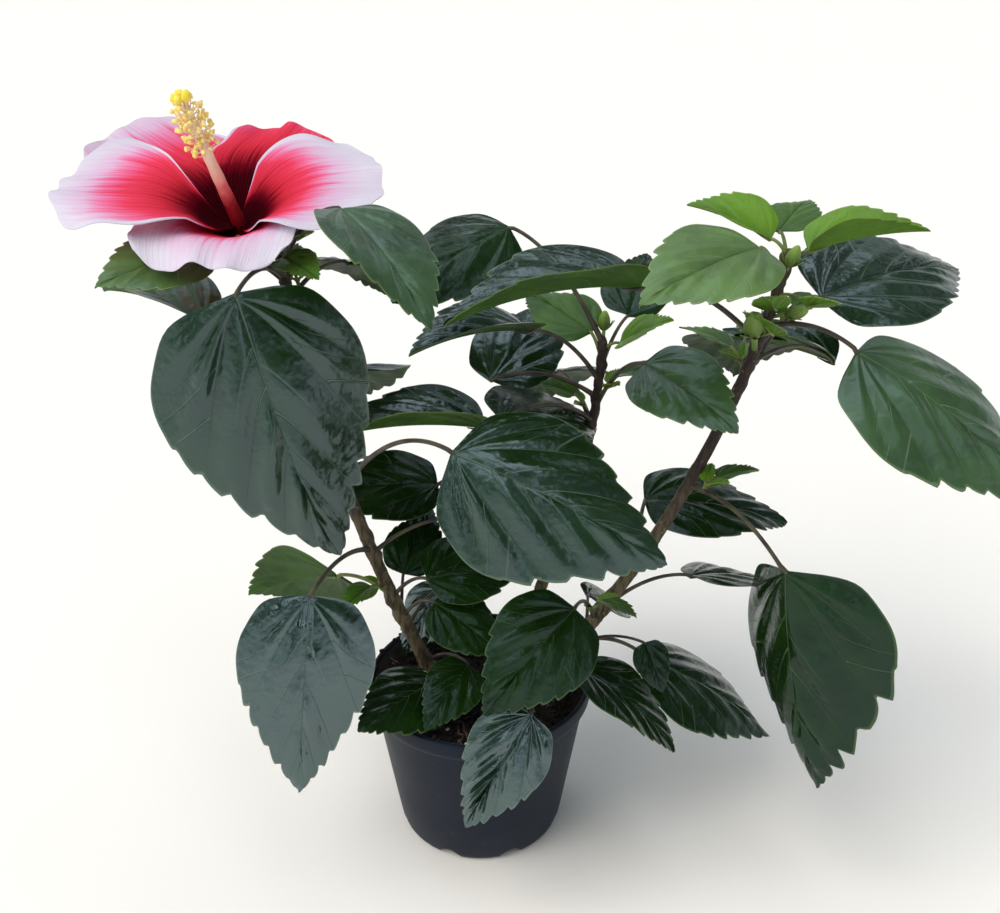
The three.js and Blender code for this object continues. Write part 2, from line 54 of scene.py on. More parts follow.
# %% Place the camera
CAMERA = {"place": (0.011, -0.535, 0.490), "tilt": 26.35, "lens": 43.2, "film": 36}
camera = bpy.data.objects.new("camera", bpy.data.cameras.new("camera"))
camera.data.lens, camera.data.sensor_width = CAMERA["lens"], CAMERA["film"]
camera.location = CAMERA["place"]
camera.rotation_euler = (math.radians(90 - CAMERA["tilt"]), 0, 0)
bpy.context.scene.collection.objects.link(camera)
bpy.context.scene.camera = camera
print("camera tilts down by", CAMERA["tilt"], "degrees")

# %% [markdown]
# ## Meshes from arrays
# Every piece here is a surface worked out with numpy: a grid of points whose rows and
# columns follow two parameters. Modelling by hand could give one leaf, but a formula gives
# fifty different ones. A Batch gathers many such grids and makes one joined mesh of them,
# which keeps the number of objects small.

# %% The faces of a grid
def grid_faces(rows, cols, ring=False):
    """Corners of a grid's quads: each point with its neighbours along the row and the next row."""
    across = cols if ring else cols - 1
    i, j = np.meshgrid(np.arange(rows - 1), np.arange(across), indexing="ij")
    a, b = i * cols + j, i * cols + (j + 1) % cols
    return np.stack([a, b, b + cols, a + cols], -1).reshape(-1, 4)


print("a grid of 3 rows and 4 columns has", len(grid_faces(3, 4)), "quads")

# %% Gather many shapes into one mesh
class Batch:
    """Points, faces, pattern places and finish numbers gathered from many small shapes."""

    def __init__(self):
        self.points, self.faces, self.places, self.slots, self.count = [], [], [], [], 0

    def add(self, points, faces, places, slots):
        """One shape: points (n, 3) in mm, a list of face arrays, places (n, 2), a finish for each array."""
        self.points.append(points)
        self.places.append(places)
        for corners, slot in zip(faces, slots):
            self.faces.append(corners + self.count)
            self.slots.append(np.full(len(corners), slot))
        self.count += len(points)

    def make(self, name, finishes, slot, replaces=(), sharp=40):
        """The joined mesh as a piece of the object, smooth except at edges sharper than `sharp`."""
        sizes = np.concatenate([np.full(len(f), f.shape[1]) for f in self.faces])
        corners = np.concatenate([f.ravel() for f in self.faces])
        mesh = bpy.data.meshes.new(name)
        mesh.vertices.add(self.count)
        mesh.vertices.foreach_set("co", (np.concatenate(self.points) * MM).ravel())
        mesh.loops.add(len(corners))
        mesh.loops.foreach_set("vertex_index", corners)
        mesh.polygons.add(len(sizes))
        mesh.polygons.foreach_set("loop_start", np.cumsum(sizes) - sizes)
        mesh.polygons.foreach_set("material_index", np.concatenate(self.slots))
        mesh.uv_layers.new(name="surface").data.foreach_set(
            "uv", np.concatenate(self.places)[corners].ravel()
        )
        mesh.update(calc_edges=True)
        mesh.shade_smooth()
        mesh.set_sharp_from_angle(angle=math.radians(sharp))
        for finish in finishes:
            mesh.materials.append(finish)
        piece = bpy.data.objects.new(name, mesh)
        bpy.context.scene.collection.objects.link(piece)
        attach(piece, "root")
        if replaces:
            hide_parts(*replaces)
        print(f"{name}: {int((sizes - 2).sum())} triangles")
        return piece

# %% [markdown]
# ## Finishes from expressions
# A material is a small program of nodes. Wiring it by hand hides the formula, so one small
# class wraps a socket and lets Python's own operators add the Math nodes. What varies over
# a surface reaches only colour, roughness and bump; everything else is set on the socket.

# %% A socket that can be added and multiplied
def operator(operation, turned=False):
    """An operator that adds its Math node; turned swaps the two sides, as in 1 - mask."""
    def method(self, other):
        pair = (other, self) if turned else (self, other)
        return self.finish.math(operation, *pair)
    return method


class Maths:
    """A shader socket in an expression: each operator adds the Math node that does it."""

    __add__ = __radd__ = operator("ADD")
    __mul__ = __rmul__ = operator("MULTIPLY")
    __sub__, __rsub__ = operator("SUBTRACT"), operator("SUBTRACT", turned=True)
    __truediv__, __rtruediv__ = operator("DIVIDE"), operator("DIVIDE", turned=True)
    __pow__ = operator("POWER")

    def __init__(self, finish, socket):
        self.finish, self.socket = finish, socket

    def beside(self, name):
        """Another output of the same node."""
        return Maths(self.finish, self.socket.node.outputs[name])

# %% Colours and the nodes of a material
def paint(red, green, blue):
    """A screen colour in 0..255 as the linear colour that a shader takes."""
    parts = [c / 255 for c in (red, green, blue)]
    return (*(c / 12.92 if c < 0.04045 else ((c + 0.055) / 1.055) ** 2.4 for c in parts), 1.0)


class Nodes:
    """A material under construction (or the world): adds nodes and ends in one surface shader."""

    def __init__(self, name, kind=bpy.data.materials):
        self.material = kind.new(name)
        self.material.use_nodes = True
        self.tree = self.material.node_tree
        self.tree.nodes.clear()

    def node(self, kind, settings, sockets, output=0):
        """Adds a node: its settings first, then the value or link of each socket."""
        made = self.tree.nodes.new(kind)
        for key, value in settings.items():
            if key == "stops":
                ramp = made.color_ramp
                while len(ramp.elements) < len(value):
                    ramp.elements.new(1)
                for element, (place, colour) in zip(ramp.elements, value):
                    element.position, element.color = place, colour
            else:
                setattr(made, key, value)
        for key, value in sockets.items():
            if isinstance(value, Maths):
                self.tree.links.new(value.socket, made.inputs[key])
            else:
                made.inputs[key].default_value = value
        return Maths(self, made.outputs[output])

    def math(self, operation, *values):
        """One Math node, named by its operation."""
        return self.node("ShaderNodeMath", {"operation": operation}, dict(enumerate(values)))

    def done(self, shader="BsdfPrincipled", output="OutputMaterial", **sockets):
        """Ends the material in one surface shader; names of sockets use _ for a space."""
        named = {key.replace("_", " "): value for key, value in sockets.items()}
        surface = self.node("ShaderNode" + shader, {}, named)
        end = self.tree.nodes.new("ShaderNode" + output)
        self.tree.links.new(surface.socket, end.inputs["Surface"])
        return self.material

# %% Patterns that a finish is made of
class Finish(Nodes):
    """The patterns used on this plant: slopes, blends, places, cloudy noise, dots and relief."""

    def rise(self, value, start, end):
        """0 below start, 1 above end and a smooth slope between."""
        steps = {"Value": value, "From Min": start, "From Max": end}
        return self.node("ShaderNodeMapRange", {"interpolation_type": "SMOOTHSTEP"}, steps)

    def blend(self, share, first, second):
        """A colour between two others."""
        sockets = {0: share, 6: first, 7: second}
        return self.node("ShaderNodeMix", {"data_type": "RGBA"}, sockets, 2)

    def ramp(self, value, stops):
        """The colour that a value meets on a run of stops."""
        return self.node("ShaderNodeValToRGB", {"stops": stops}, {0: value})

    def place(self):
        """The point on the piece, in the frame's own metres."""
        return self.node("ShaderNodeTexCoord", {}, {}, "Object")

    def surface_place(self):
        """The two parameters of the piece's own formula: across and along."""
        both = self.node("ShaderNodeUVMap", {"uv_map": "surface"}, {})
        across = self.node("ShaderNodeSeparateXYZ", {}, {0: both}, "X")
        return across, across.beside("Y")

    def speckle(self, place, scale, detail=3.0):
        """Cloudy noise from 0 to 1."""
        return self.node("ShaderNodeTexNoise", {}, {"Vector": place, "Scale": scale, "Detail": detail})

    def cells(self, place, scale):
        """Distance to the nearest of scattered points."""
        return self.node("ShaderNodeTexVoronoi", {}, {"Vector": place, "Scale": scale})

    def stretched(self, place, scale):
        """Places scaled differently along each axis, which draws a pattern out."""
        return self.node("ShaderNodeMapping", {}, {"Vector": place, "Scale": scale})

    def bump(self, height, strength, distance):
        """Relief without points: the slope of a height tilts the surface's normal."""
        sockets = {"Height": height, "Strength": strength, "Distance": distance}
        return self.node("ShaderNodeBump", {}, sockets)

# %% [markdown]
# ## Studio floor and light
# A pale floor under one wide soft sky shows the plant's own colours. A picture of a sky
# could light it as well, but a sky that is worked out from height alone is enough: it is
# brightest overhead, which gives the waxy leaves their blue-grey sheen, and it lights the
# whole floor alike. Broad gaps between its clouds, and a darker right side as beside a
# wall, give that sheen its ends. One soft lamp adds a direction; its own mirror image is
# left out of the wax.

# %% A round floor
def around(count):
    """Even directions round a full turn, in radians."""
    return np.linspace(0, 2 * np.pi, count, endpoint=False)


def polar(r, turn, z):
    """Points at a distance r from the Z axis, in the directions turn, at the heights z."""
    return np.stack([r * np.cos(turn), r * np.sin(turn), z + 0 * turn], -1)


FLOOR_REACH = 12.0
floor_mesh = bpy.data.meshes.new("floor")
ring = polar(FLOOR_REACH, around(96), 0)
floor_mesh.from_pydata(ring.tolist(), [], [list(range(len(ring)))])
floor = bpy.data.objects.new("floor", floor_mesh)
bpy.context.scene.collection.objects.link(floor)
pale = Finish("pale_floor")
floor_mesh.materials.append(pale.done(Base_Color=(0.95, 0.925, 0.895, 1), Roughness=0.9))

# %% One lamp and a clouded sky
WINDOW = {"heading": 215, "rise": 50, "spread": 50, "power": 2.0, "colour": (1.0, 0.94, 0.84)}
light = bpy.data.lights.new("window", "SUN")
light.angle, light.energy, light.color = math.radians(WINDOW["spread"]), WINDOW["power"], WINDOW["colour"]
lamp = bpy.data.objects.new("window", light)
lamp.rotation_euler = (math.radians(90 - WINDOW["rise"]), 0, math.radians(WINDOW["heading"] + 90))
lamp.visible_glossy = False
bpy.context.scene.collection.objects.link(lamp)
sky = Finish("studio_sky", bpy.data.worlds)
way = sky.node("ShaderNodeTexCoord", {}, {}, "Generated")
east = sky.node("ShaderNodeSeparateXYZ", {}, {0: way}, "X")
height = east.beside("Z")
dome = sky.ramp(height, [
    (0.0, (0.95, 0.95, 0.95, 1)), (0.12, (0.92, 0.92, 0.92, 1)), (0.28, (0.56, 0.6, 0.64, 1)),
    (0.36, (1.1, 1.2, 1.3, 1)), (0.7, (1.56, 1.68, 1.8, 1)), (1.0, (2.1, 2.22, 2.34, 1)),
])
clouds = sky.rise(sky.speckle(way, 3.6, 1), 0.49, 0.58)
aloft = sky.rise(height, 0.26, 0.4)
dome = sky.blend((1 - clouds) * aloft * 0.95, dome, (0.02, 0.025, 0.03, 1))
dome = sky.blend(sky.rise(east, 0.1, 0.6) * aloft * 0.8, dome, (0.1, 0.12, 0.12, 1))
bpy.context.scene.world = sky.done("Background", "OutputWorld", Color=dome, Strength=1.0)
bpy.context.scene.view_settings.view_transform = "Standard"

# %% [markdown]
# ## The pot
# A grower's pot is blow-moulded plastic: one thin wall, a rounded foot with drainage
# arches and a rolled rim. A cylinder with bevels would come close, but a profile turned
# round the axis follows the wall inside and out, and the arches are lifted into its foot.

# %% Turned shapes
def fan_faces(hub, rim, outward):
    """Triangles from a hub point to a closed ring of points, turned to face out or back."""
    after = np.roll(rim, -1)
    pair = (rim, after) if outward else (after, rim)
    return np.stack([np.full(len(rim), hub), *pair], -1)


def add_rings(batch, rings, slot):
    """A closed skin over rings of points (rows, sides, 3): quads between rings, a fan at each end."""
    rows, sides = rings.shape[:2]
    hubs = np.stack([rings[0].mean(0), rings[-1].mean(0)])
    points = np.concatenate([rings.reshape(-1, 3), hubs])
    first, last = np.arange(sides), (rows - 1) * sides + np.arange(sides)
    faces = [
        grid_faces(rows, sides, ring=True),
        fan_faces(rows * sides, first, False),
        fan_faces(rows * sides + 1, last, True),
    ]
    along = np.repeat(np.linspace(0, 1, rows), sides)
    across = np.tile(np.arange(sides) / sides, rows)
    places = np.concatenate([np.stack([across, along], -1), [[0.5, 0], [0.5, 1]]])
    batch.add(points, faces, places, [slot] * 3)


def turned(profile, sides):
    """Rings of a turned shape: each (radius, height) pair of the profile goes round the Z axis."""
    return polar(profile[:, :1], around(sides), profile[:, 1:])


def soften(profile, rounds=2):
    """Rounds a profile's corners: each stretch keeps only its points at a quarter and three quarters."""
    for _ in range(rounds):
        a, b = profile[:-1], profile[1:]
        cut = np.stack([0.75 * a + 0.25 * b, 0.25 * a + 0.75 * b], 1).reshape(-1, 2)
        profile = np.concatenate([profile[:1], cut, profile[-1:]])
    return profile

# %% The pot's section and its drainage arches
POT = {"foot": 44.5, "rim": 60.5, "height": 92, "wall": 1.6, "floor": 2.2, "band": 10}
ARCHES = {"count": 8, "radius": 6}
SOIL_TOP = 84
LOW = POT["height"] - POT["band"]


def wall_at(z):
    """Outer radius of the plain wall: a straight line from the foot to the band."""
    return POT["foot"] + 1 + (POT["rim"] - POT["foot"] - 4) * (z - 5) / (POT["height"] - 15)


def pot_profile():
    """The wall's section from the axis under the foot, up the outside, over the rim and back in."""
    foot, rim, top, wall = POT["foot"], POT["rim"], POT["height"], POT["wall"]
    outside = [
        (0, 0), (foot - 8, 0), (foot - 3, 0), (foot - 1, 0.8), (foot + 0.3, 3), (wall_at(7), 7),
        (wall_at(40), 40), (wall_at(LOW - 3), LOW - 3), (wall_at(LOW - 1), LOW - 1), (rim - 1.2, LOW),
        (rim - 0.2, LOW + 2), (rim, LOW + 5), (rim, top - 1.2), (rim - 0.4, top),
    ]
    inside = [
        (rim - 2.4, top), (rim - 3, top - 1.4), (rim - 3, LOW + 1), (wall_at(LOW) - wall, LOW - 2),
        (wall_at(40) - wall, 40), (wall_at(8) - wall, 7), (wall_at(5) - wall - 2, POT["floor"]),
        (foot - 9, POT["floor"]), (0, POT["floor"]),
    ]
    return np.array(outside + inside, dtype=float)


def lift_arches(rings):
    """Raises foot points to sqrt(radius^2 - d^2), d being their distance from the nearest arch's axis."""
    x, y, z = np.moveaxis(rings, -1, 0)
    reach, step = np.hypot(x, y), 2 * np.pi / ARCHES["count"]
    off = (np.arctan2(y, x) % step) - step / 2
    arch = np.sqrt(np.clip(ARCHES["radius"] ** 2 - (reach * np.sin(off)) ** 2, 0, None))
    near = np.clip((reach - POT["foot"] + 7) / 2, 0, 1) * (z < 8)
    rings[..., 2] = np.where(z < arch, z + (arch - z) * near, z)
    return rings

# %% Slate plastic, then the pot
slate = Finish("slate_plastic")
spot = slate.place()
cloud = slate.speckle(spot, 26, 5)
dust = slate.rise(slate.speckle(spot, 210, 4), 0.62, 0.74)
height = slate.node("ShaderNodeSeparateXYZ", {}, {0: spot}, "Z")
splash = (1 - slate.rise(height, 0.0, 0.03)) * 0.35
tone = slate.blend(cloud, paint(10, 15, 26), paint(18, 27, 42))
tone = slate.blend(slate.math("MINIMUM", dust * 0.2 + splash * cloud, 0.5), tone, paint(66, 70, 78))
grain = slate.speckle(spot, 900, 2) * 0.4 + cloud * 0.6
SLATE = slate.done(
    Base_Color=tone, Roughness=cloud * 0.2 + 0.4, IOR=1.32, Specular_Tint=(0.8, 0.88, 1.0, 1),
    Normal=slate.bump(grain, 0.12, 0.0008),
)
pot = Batch()
add_rings(pot, lift_arches(turned(soften(pot_profile())[::-1], 180)), 0)
pot.make("pot_wall", [SLATE], "pot", ["pot"], sharp=60)

# %% [markdown]
# ## The compost
# Potting compost is dark peat with crumbs, shreds of bark and pale grains of perlite. A
# flat disc with a bumpy material would look painted, so the surface is a heaped grid, and
# more than a thousand little lumps of a few faces each lie on it.

# %% Heap the compost
def ripples(places, seed, waves=12, finest=1.0):
    """Even, repeatable roughness: the mean of sine waves that cross the places in random directions."""
    roll = np.random.default_rng(seed)
    ways = roll.normal(size=(waves, places.shape[-1])) * finest * roll.uniform(0.3, 1, (waves, 1))
    turns = roll.uniform(0, 2 * np.pi, waves)
    return np.sin(places @ ways.T + turns).mean(-1) * math.sqrt(waves / 4)


def heap(x, y):
    """Height of the surface: lumpy, a little dished, and banked up against the pot's wall."""
    reach = np.hypot(x, y)
    lumps = ripples(np.stack([x, y], -1), 3, 24, 0.55) + 0.6 * ripples(np.stack([x, y], -1), 4, 24, 1.6)
    bank = (reach / 56) ** 4 * (1.2 - x / 60)
    return SOIL_TOP + 2.4 + 1.0 * lumps + 2.2 * bank


def compost_rings():
    """A flat bottom, a side just inside the wall and the heaped top, ring after ring."""
    body = np.array([(1.0, 60.0), (wall_at(60) - 2.2, 60.0), (wall_at(76) - 2.2, 76.0)])
    tops = np.linspace(POT["rim"] - 3.4, 0.4, 60)
    rings = turned(np.concatenate([body, np.stack([tops, 0 * tops], -1)]), 150)
    rings[3:, :, 2] = heap(rings[3:, :, 0], rings[3:, :, 1])
    return rings


def earth(name, dark, light, scale):
    """A dull crumbly finish between two colours."""
    finish = Finish(name)
    spot = finish.place()
    cloud = finish.speckle(spot, scale, 6)
    tone = finish.blend(finish.rise(cloud, 0.35, 0.7), paint(*dark), paint(*light))
    return finish.done(Base_Color=tone, Roughness=0.95, Normal=finish.bump(cloud, 0.7, 0.001))


PEAT = earth("peat", (6, 5, 5), (30, 22, 18), 620)
compost = Batch()
add_rings(compost, compost_rings(), 0)
compost.make("compost", [PEAT], "compost", ["soil"])

# %% Scatter crumbs, shreds and perlite
def add_lumps(batch, centres, sizes, seed, slot):
    """Many small boulders at once: a ball of 26 points, pushed in and out, stretched and turned."""
    roll = np.random.default_rng(seed)
    lat, lon = np.linspace(0.25, np.pi - 0.25, 4), around(6)
    ball = np.stack([
        np.outer(np.sin(lat), np.cos(lon)), np.outer(np.sin(lat), np.sin(lon)),
        np.outer(np.cos(lat), np.ones(6)),
    ], -1)[::-1]
    for centre, size in zip(centres, sizes):
        axes = np.linalg.qr(roll.normal(size=(3, 3)))[0]
        axes = axes * np.sign(np.linalg.det(axes))
        rough = ball * roll.uniform(0.75, 1.2, ball.shape[:2] + (1,)) * size
        add_rings(batch, centre + rough @ axes.T, slot)


def strew(batch, count, seed, size, shape, slot=0, reach=54):
    """Lumps on random spots of the heap: a range of sizes, and a shape's range or its three axes."""
    roll = np.random.default_rng(seed)
    r, turn = reach * np.sqrt(roll.uniform(0, 1, count)), roll.uniform(0, 2 * np.pi, count)
    spots = polar(r, turn, 0)
    spots[:, 2] = heap(spots[:, 0], spots[:, 1]) + 0.2
    sizes = roll.uniform(*size, (count, 1))
    sizes = sizes * (shape if len(shape) == 3 else roll.uniform(*shape, (count, 3)))
    add_lumps(batch, spots, sizes, seed + 1, slot)
    return roll


SHRED = earth("bark_shred", (60, 45, 32), (116, 94, 72), 500)
PERLITE = earth("perlite", (196, 190, 180), (236, 232, 224), 900)
ON_RIM = 46
crumbs = Batch()
strew(crumbs, 900, 5, (0.5, 1.7), (0.7, 1.3))
roll = strew(crumbs, 170, 7, (0.8, 1.2), (4.2, 0.5, 0.45), slot=1)
turn = roll.normal(3.6, 0.55, ON_RIM)
rim = polar(POT["rim"] - roll.uniform(0.6, 3.2, ON_RIM), turn, POT["height"] + 0.4)
add_lumps(crumbs, rim, roll.uniform(0.5, 1.6, (ON_RIM, 3)), 11, 0)
crumbs.make("crumbs_and_shreds", [PEAT, SHRED], "compost")
grains = Batch()
strew(grains, 70, 9, (0.5, 1.4), (0.8, 1.2))
grains.make("perlite_grains", [PERLITE], "compost")

# %% [markdown]
# ## The stems
# Each stem leans out and bends up, thick at the soil and thin at its tip. It could be drawn
# as a curve with handles, but everything else grows on it, so its axis is a formula that
# gives the point and the girth at any height.

# %% Stem formulas shared by everything that grows on them
STEMS = {
    "left": {"foot": (-24, 6), "lean": (-0.42, -0.09), "bend": (0.00052, 0.0007), "tip": 320,
             "girth": (4.0, 2.3)},
    "middle": {"foot": (12, 18), "lean": (0.52, 0.2), "bend": (-0.0013, -0.0004), "tip": 272,
               "girth": (3.6, 1.9)},
    "right": {"foot": (27, -7), "lean": (0.78, 0.06), "bend": (-0.0012, 0), "tip": 328,
              "girth": (4.3, 2.3)},
}


def axis_at(stem, z):
    """Point of a stem's axis: foot + lean*h + bend*h*h, h being the height above the soil."""
    z = np.asarray(z, dtype=float)
    h = (z - SOIL_TOP)[..., None]
    level = np.array(stem["foot"]) + np.array(stem["lean"]) * h + np.array(stem["bend"]) * h * h
    return np.concatenate([level, z[..., None]], -1)


def girth_at(stem, z):
    """Radius: a straight taper, with a root flare that dies away within a few centimetres."""
    h = z - SOIL_TOP
    plain = stem["girth"][0] + (stem["girth"][1] - stem["girth"][0]) * h / (stem["tip"] - SOIL_TOP)
    return plain * (1 + 0.55 * np.exp(-np.maximum(h, 0) / 7))


def toward(heading, rise):
    """Unit vector for a heading (0 = +X, 90 = +Y) and a rise above level, in degrees."""
    a, e = np.radians(heading), np.radians(rise)
    return np.array([np.cos(e) * np.cos(a), np.cos(e) * np.sin(a), np.sin(e)])


print("stems:", {side: [round(c) for c in axis_at(stem, stem["tip"])] for side, stem in STEMS.items()})

# %% [markdown]
# ## The leaves' table
# Each line places one leaf: the height where its stalk leaves the stem, the stalk and the
# blade as directions and lengths, and how the blade is rolled, folded and arched. Scattering
# leaves at random would fill a crown faster, but this plant is an individual, and a table
# of directions keeps each leaf's place while the formula below gives its shape.

# %% List the leaves of each stem
def leaf(at, stalk, blade, roll, fold, arch, tone="deep", under="olive", wide=1, axil=0, teeth=0.022,
         sweep=0.0, quilt=1.0):
    """One leaf: stalk (heading, rise, length), blade (heading, droop, length), turns, tones, surface."""
    return dict(at=at, stalk=stalk, blade=blade, roll=roll, fold=fold, arch=arch, tone=tone,
                under=under, wide=wide, axil=axil, teeth=teeth, sweep=sweep, quilt=quilt)


LEAVES = {
    "left": [
        leaf(92, (285, 26, 28), (230, -2, 60), -20, -8, 20),
        leaf(97, (310, 27, 42), (235, 25, 42), -25, 5, 25),
        leaf(120, (60, 13, 32), (200, 60, 44), -30, 5, 20, "wet", quilt=2.8),
        leaf(127, (315, 40, 34), (336, 30, 46), 30, 5, 25),
        leaf(129, (85, 60, 22), (70, -25, 45), 10, 8, 25),
        leaf(140, (326, 40, 31), (30, 5, 60), 25, 5, 25),
        leaf(140, (165, 16, 32), (150, 27, 74), 60, 10, 25, "mid", "spring", axil=1),
        leaf(167, (13, 15, 53), (6, 25, 62), 20, -5, 30),
        leaf(169, (245, 5, 58), (256, 71, 100), -20, -10, 30, "wet", wide=0.94, teeth=0.018),
        leaf(190, (150, 20, 40), (110, 30, 80), 0, 5, 35),
        leaf(206, (312, 30, 100), (345, 24, 108), 40, -12, 40, "sky", wide=1.06, axil=2, quilt=1.4),
        leaf(240, (85, 10, 50), (95, 35, 100), 0, 5, 35),
        leaf(288, (157, -6, 56), (147, -3, 74), 4, 34, 25, "mid", "spring", axil=1),
        leaf(300, (50, 15, 40), (80, 30, 80), 0, 5, 30, axil=1),
        # Partly painted light: this leaf is pale green, and its paler light tint also makes up for the
        # shade that the bloom casts on it.
        leaf(308, (178, 20, 42), (222, 5, 56), -25, 8, 30, "light", "spring"),
        leaf(311, (257, 9, 56), (335, 75, 134), 45, -14, 30, "sky", wide=1.05, axil=1, sweep=-0.07,
             quilt=1.7),
        leaf(317, (320, 38, 56), (311, 33, 76), -10, 14, 30, "mid", "spring", axil=2),
    ],
    "middle": [
        leaf(125, (60, 25, 50), (80, 30, 85), 0, 5, 35),
        leaf(172, (180, 22, 42), (165, 8, 36), -15, 5, 25),
        leaf(190, (174, -2, 76), (186, 2, 66), -25, 5, 25),
        leaf(223, (199, 9, 60), (194, -2, 84), 8, 34, 25, "sky", "spring"),
        leaf(224, (110, 15, 50), (95, 35, 95), 0, 6, 35, axil=1),
        leaf(227, (218, 16, 63), (45, 18, 76), 20, 3, 26),
        leaf(234, (297, 43, 59), (310, 14, 62), 25, 8, 30, "mid", "spring", axil=1),
        leaf(240, (159, 1, 59), (52, -21, 68), 20, 6, 20, "sky"),
        leaf(249, (207, 40, 54), (215, -2, 70), 4, 28, 30, "sky"),
        leaf(255, (52, 42, 34), (73, -22, 52), 5, 10, 25),
        leaf(260, (144, 63, 16), (133, -10, 49), -15, 8, 25, "fresh", "spring"),
        leaf(265, (324, 34, 12), (327, -32, 34), 20, 20, 15, "lime", "lime", teeth=0.04),
        leaf(269, (146, 42, 78), (212, 22, 76), -30, -10, 30, "deep", "lime"),
    ],
    "right": [
        leaf(100, (257, 14, 60), (208, 57, 68), -35, 5, 20, "wet", wide=0.88, quilt=3.2),
        leaf(105, (290, 29, 36), (330, 32, 62), -8, 12, 30),
        leaf(114, (345, 14, 40), (310, 58, 28), 20, 10, 20),
        leaf(117, (20, -25, 47), (352, 33, 87), 5, -8, 30),
        leaf(125, (85, 5, 30), (35, 40, 42), 10, 10, 20),
        leaf(131, (251, 38, 54), (215, 37, 68), -35, 6, 28, wide=1.08, axil=1, quilt=1.5),
        leaf(137, (0, 25, 50), (18, 18, 60), -15, 5, 30),
        leaf(161, (77, 18, 51), (4, 13, 84), 10, 6, 30),
        leaf(208, (310, -18, 67), (320, 75, 120), 98, -24, 25, wide=1.08, axil=1, teeth=0.04, quilt=1.7),
        leaf(262, (39, 30, 66), (31, 1, 104), 20, 6, 35, "sky"),
        leaf(264, (78, 8, 45), (82, 35, 88), 0, 5, 35, axil=1),
        leaf(272, (37, -12, 68), (161, -4, 68), 8, 32, 28, "sky", "spring"),
        leaf(283, (189, 28, 68), (196, 6, 95), 8, 34, 30, "sky", "spring", axil=1),
        leaf(287, (278, 24, 17), (222, -34, 28), 0, 10, 20, "fresh", "lime", teeth=0.05),
        leaf(291, (327, -3, 46), (337, 34, 108), 22, -8, 30, "mid", "spring", axil=2),
        leaf(300, (262, 20, 24), (240, -30, 24), 20, 10, 15, "fresh", "lime", teeth=0.06),
        leaf(306, (305, 5, 20), (290, -20, 24), -20, 15, 15, "lime", "lime", teeth=0.06),
        leaf(311, (225, 50, 30), (216, 10, 74), -20, 8, 28, "light", "spring"),
        leaf(318, (352, 46, 15), (0, -10, 56), -4, 44, 20, "lime", "lime"),
        leaf(323, (89, 20, 24), (59, -8, 42), 0, 10, 20, "fresh", "spring"),
        leaf(325, (160, 42, 12), (150, -14, 44), -16, 40, 22, "lime", "lime"),
    ],
}
EVERY_LEAF = [dict(row, on=side) for side, rows in LEAVES.items() for row in rows]
print("leaves:", len(EVERY_LEAF))

# %% [markdown]
# ## The bark
# Young hibiscus bark is brown-purple, and grey-tan with pale breathing pores lower down. A
# plain tapered tube would do for a distant plant; here the radius itself carries ridges,
# pores and the swelling under every leaf, so the outline is rough too.

# %% Ridges, pores and leaf swellings
PORES = 110


def bark_rings(side, steps=420, sides=44):
    """Rings square to Z whose radius = girth + ridges + pores + a swelling under each leaf's stalk."""
    stem = STEMS[side]
    z = np.linspace(SOIL_TOP - 3, stem["tip"] + 1, steps)
    zz, tt = np.meshgrid(z, around(sides), indexing="ij")
    wrap = polar(4, tt, 0.22 * zz)
    radius = girth_at(stem, zz) * (1 + 0.035 * ripples(wrap, 21, 18, 0.9))
    radius += 0.09 * ripples(wrap * (1.6, 1.6, 3.2), 22, 24, 1.2)
    roll = np.random.default_rng(len(side))
    for high, way in zip(roll.uniform(SOIL_TOP, stem["tip"], PORES), roll.uniform(0, 2 * np.pi, PORES)):
        apart = (np.angle(np.exp(1j * (tt - way))) * 3.2) ** 2 + ((zz - high) / 1.4) ** 2
        radius += 0.24 * np.exp(-apart * 2.2)
    marks = [(row["at"], row["stalk"][0]) for row in LEAVES[side]]
    marks += [(row["at"] + 9, row["stalk"][0] + 150) for row in LEAVES[side][::2]]
    for high, heading in marks:
        away = np.angle(np.exp(1j * (tt - np.radians(heading))))
        radius += 1.1 * np.exp(-((away / 0.8) ** 2) - ((zz - high) / 2.6) ** 2)
        radius += 0.3 * np.exp(-(((zz - high + 2.5) / 1.1) ** 2))
    radius *= np.clip((stem["tip"] + 1.5 - zz) / 3, 0.05, 1) ** 0.5
    return axis_at(stem, z)[:, None] + polar(radius, tt, 0)

# %% Bark finish, then the stems
bark = Finish("young_bark")
spot = bark.place()
high = bark.node("ShaderNodeSeparateXYZ", {}, {0: spot}, "Z")
streak = bark.speckle(bark.stretched(spot, (1, 1, 0.25)), 420, 5)
cloud = bark.speckle(spot, 60, 4)
age = bark.rise(high + cloud * 0.06, 0.17, 0.27)
tone = bark.blend(age, paint(104, 92, 66), paint(50, 36, 31))
tone = bark.blend(bark.rise(streak, 0.4, 0.6) * 0.75, tone, paint(30, 23, 20))
pores = 1 - bark.rise(bark.cells(bark.stretched(spot, (1, 1, 0.6)), 360), 0.1, 0.28)
pores = pores * bark.rise(bark.speckle(spot, 240, 2), 0.42, 0.6)
tone = bark.blend(pores * 0.6, tone, paint(138, 124, 102))
young = bark.rise(high + cloud * 0.03, 0.318, 0.34)
tone = bark.blend(young * 0.8, tone, paint(70, 66, 34))
relief = streak * 0.7 + pores * 0.6
BARK = bark.done(Base_Color=tone, Roughness=0.72, Normal=bark.bump(relief, 0.5, 0.0009))
for side in STEMS:
    stem = Batch()
    add_rings(stem, bark_rings(side), 0)
    stem.make("bark_" + side, [BARK], "bark", ["stem_" + side], sharp=70)

# %% [markdown]
# ## One leaf as a formula
# A hibiscus blade is broad and pointed, with five veins that fan out from its base, side
# veins that run forward to a toothed edge, and soft quilting between them. Drawing the
# veins as texture alone would leave it flat. So the grid's rows are the veins' own lines:
# the first rows fan from the base, the later ones leave the midrib, and all end at the
# edge. A vein is then simply a row, and a tooth is a row's end pushed out.

